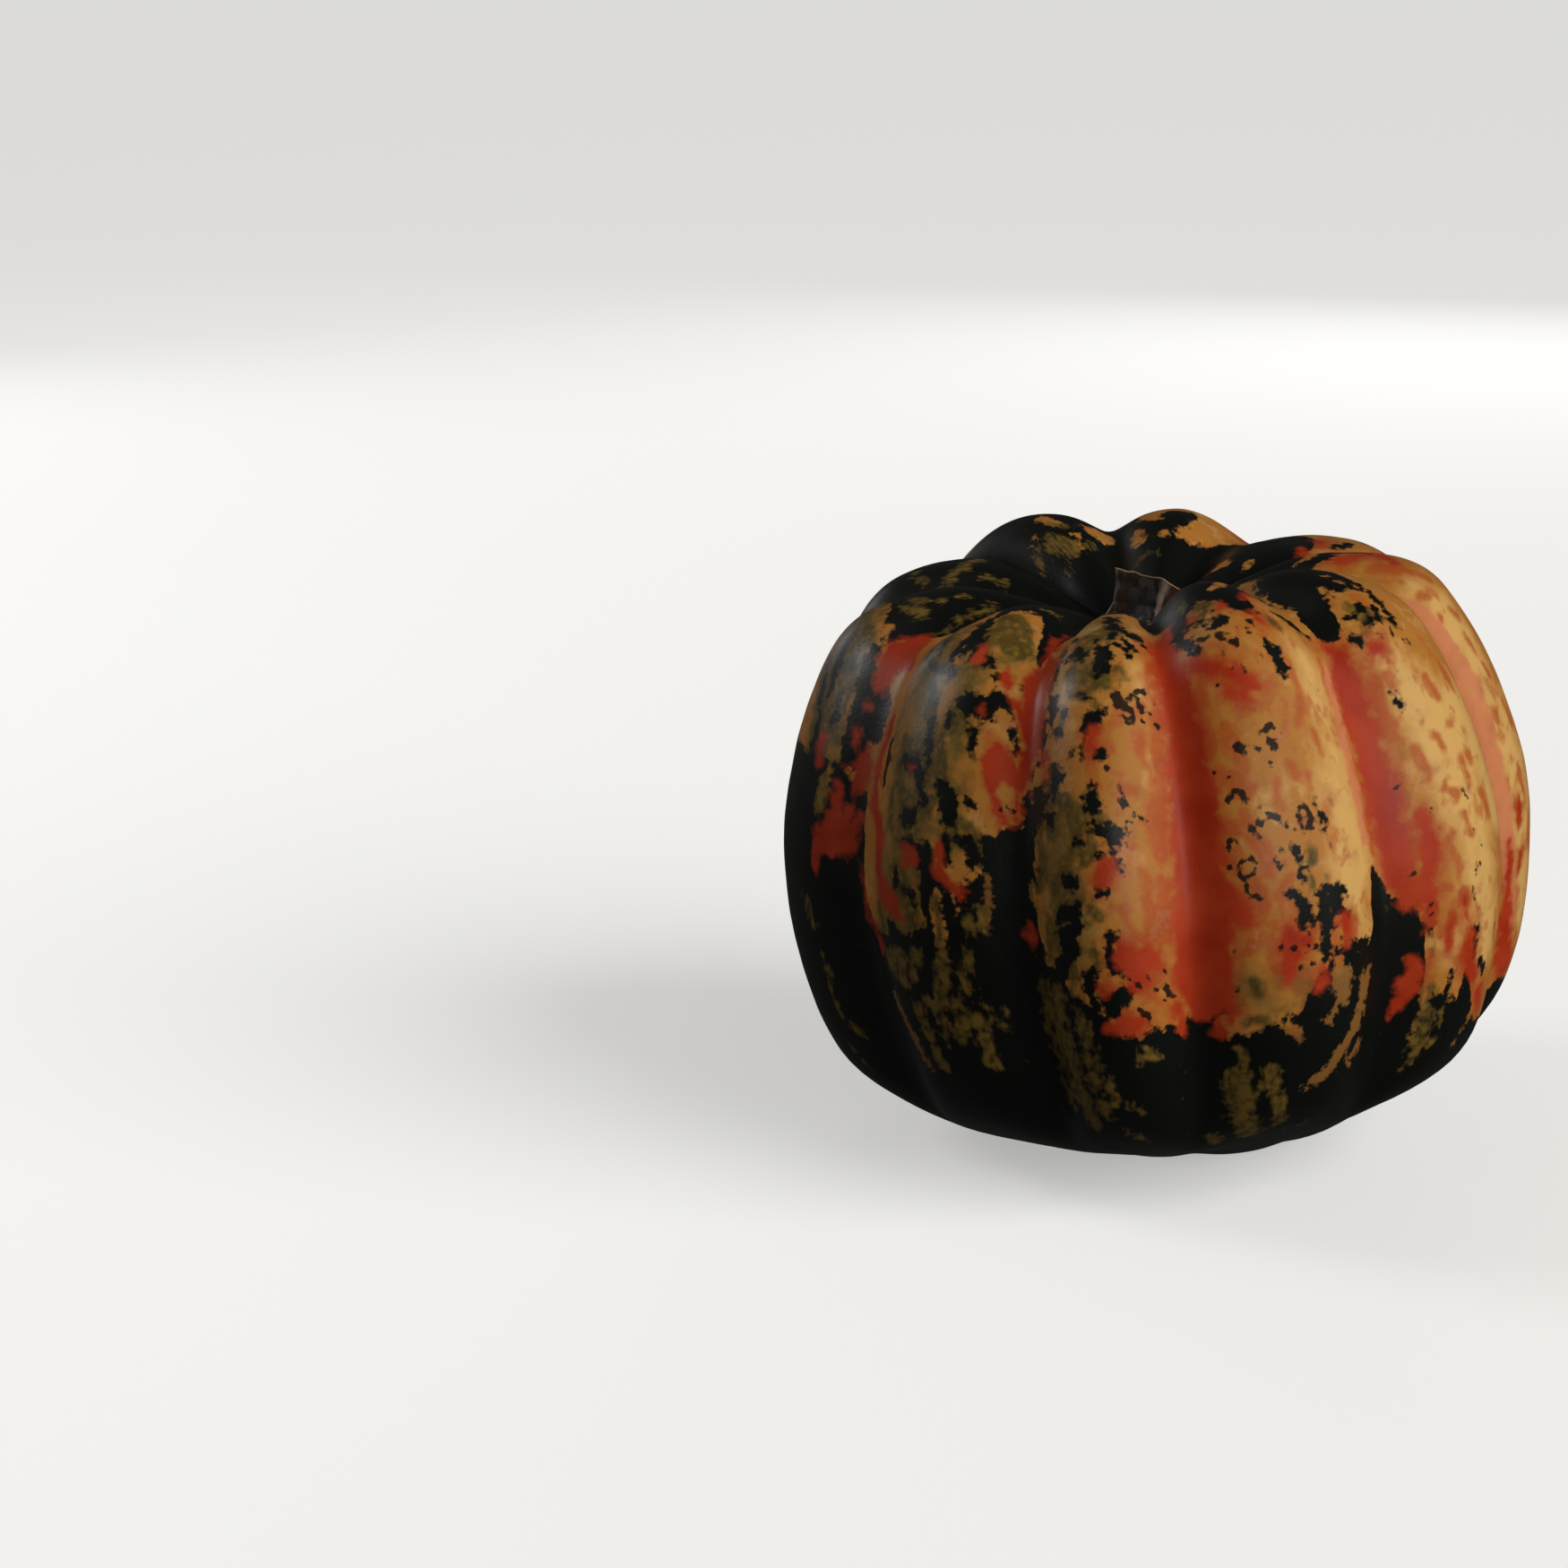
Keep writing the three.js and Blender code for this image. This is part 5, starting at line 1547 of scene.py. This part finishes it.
@dataclass(frozen=True)
class BroadSun:
    """A wide far light, as bright on the far floor as beside the fruit."""

    name: str
    place: Triple  # metres; only the way to it counts
    spread: float  # degrees across
    strength: float
    glossy: bool = True  # whether the wax mirrors it

    def build(self, target: Vector) -> None:
        """Hang the light.

        Args:
            target: The point that it faces.
        """
        lamp = bpy.data.lights.new(self.name, "SUN")
        lamp.angle = math.radians(self.spread)
        lamp.energy = self.strength
        hang(lamp, self.place, target).visible_glossy = self.glossy


def hang(lamp: bpy.types.Light, place: Triple, target: Vector) -> bpy.types.Object:
    """Put a lamp in the scene and turn it to a point.

    Args:
        lamp: The lamp.
        place: Where it hangs, in metres.
        target: The point that it faces.

    Returns:
        The lamp's object.
    """
    holder = bpy.data.objects.new(lamp.name, lamp)
    holder.location = place
    holder.rotation_euler = (target - Vector(place)).to_track_quat("-Z", "Y").to_euler()
    bpy.context.scene.collection.objects.link(holder)
    return holder


@dataclass(frozen=True)
class Studio:
    """Pale floor, soft lights and the camera."""

    floor_radius: float = 12.0  # metres
    floor_colour: str = "#f6f5f2"
    floor_glow: float = 0.45
    sky_colour: str = "#f2f1ee"
    sky_strength: float = 0.04
    frame_px: float = 1750.0
    field_of_view: float = 24.0
    looks_down: float = 14.0
    aim_height: float = 60.0  # mm, on the upright line through the resting spot
    aim_px: Pair = (1323.0, 949.4)  # where that point shows in the frame
    distance: float = 785.5  # mm from the camera to that point, along the view
    lamps: tuple[BroadSun | Softbox, ...] = (
        BroadSun("key", (0.71, -0.5, 0.5), 50.0, 2.05, glossy=False),
        BroadSun("sheen", (0.71, -0.5, 0.42), 90.0, 0.14),
        Softbox("low_right", (1.1, -0.55, 0.03), 0.5, 0.4),
        Softbox("overhead", (-0.35, 0.3, 1.2), 0.5, 0.12),
        Softbox("low_front", (0.4, -1.2, 0.25), 0.6, 2.1),
        Softbox("left", (-1.15, 0.25, 0.75), 0.5, 3.6),
        Softbox("back", (0.35, 1.4, 0.5), 0.5, 1.5, glossy=False),
        Softbox("left_back", (-0.7, 1.1, 0.35), 0.35, 0.5),
    )

    def build(self) -> bpy.types.Object:
        """Set up the floor, the lights and the camera.

        Returns:
            The floor.
        """
        scene = bpy.context.scene
        scene.view_settings.view_transform = "Standard"
        target = Vector((0, 0, self.aim_height * MM))
        for lamp in self.lamps:
            lamp.build(target)
        world = bpy.data.worlds.new("studio_air")
        world.use_nodes = True
        world.node_tree.nodes.clear()
        glow = add_node(
            world.node_tree,
            "ShaderNodeBackground",
            None,
            {"Color": linear(self.sky_colour), "Strength": self.sky_strength},
        )
        add_node(world.node_tree, "ShaderNodeOutputWorld", None, {"Surface": glow})
        scene.world = world
        self._camera(target)
        return self._floor()

    def _camera(self, target: Vector) -> None:
        """Place the camera so that the target shows at its pixel.

        Args:
            target: Point on the upright line through the resting spot.
        """
        half = self.frame_px / 2
        focal_px = half / math.tan(math.radians(self.field_of_view) / 2)
        pitch = math.radians(self.looks_down)
        forward = Vector((0, math.cos(pitch), -math.sin(pitch)))
        up = Vector((0, math.sin(pitch), math.cos(pitch)))
        right = Vector((1, 0, 0))
        aside = (self.aim_px[0] - half) / focal_px
        above = (half - self.aim_px[1]) / focal_px
        camera = bpy.data.objects.new("camera", bpy.data.cameras.new("camera"))
        camera.data.sensor_fit = "HORIZONTAL"
        camera.data.lens_unit = "FOV"
        camera.data.angle = math.radians(self.field_of_view)
        camera.data.clip_end = 3 * self.floor_radius
        camera.location = target - self.distance * MM * (forward + aside * right + above * up)
        camera.rotation_euler = (math.pi / 2 - pitch, 0, 0)
        bpy.context.scene.collection.objects.link(camera)
        bpy.context.scene.camera = camera

    def _floor(self) -> bpy.types.Object:
        """Lay the round floor of pale matt paper, which shows soft shadows and no shine.

        Returns:
            The floor.
        """
        sides = 96
        turns = [2 * math.pi * side / sides for side in range(sides)]
        rim = [(self.floor_radius * math.cos(t), self.floor_radius * math.sin(t), 0) for t in turns]
        mesh = bpy.data.meshes.new("floor")
        mesh.from_pydata(rim, [], [tuple(range(sides))])
        paper = bpy.data.materials.new("pale_paper")
        paper.use_nodes = True
        shader = paper.node_tree.nodes["Principled BSDF"]
        shader.inputs["Base Color"].default_value = linear(self.floor_colour)
        shader.inputs["Roughness"].default_value = 0.9
        mesh.materials.append(paper)
        floor = bpy.data.objects.new("floor", mesh)
        # The floor glows a little, so it stays pale all round, and gives the fruit neither bounce nor
        # reflection, so the underside stays dark.
        shader.inputs["Emission Color"].default_value = linear(self.floor_colour)
        shader.inputs["Emission Strength"].default_value = self.floor_glow
        floor.visible_glossy = False
        floor.visible_diffuse = False
        bpy.context.scene.collection.objects.link(floor)
        return floor


def main() -> None:
    """Build the studio and the pieces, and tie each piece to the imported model."""
    logging.basicConfig(level=logging.INFO, format="%(name)s: %(message)s")
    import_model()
    Studio().build()
    LOG.info("studio ready")
    for piece, node, slot in (
        (Rind().build(), "fruit", "rind"),
        (Stem().build(), "stem", "dry_stem"),
    ):
        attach(piece, "root")
        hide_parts(node)
        LOG.info("%s stands for %s, %d faces", piece.name, node, len(piece.data.polygons))


if __name__ == "__main__":
    main()
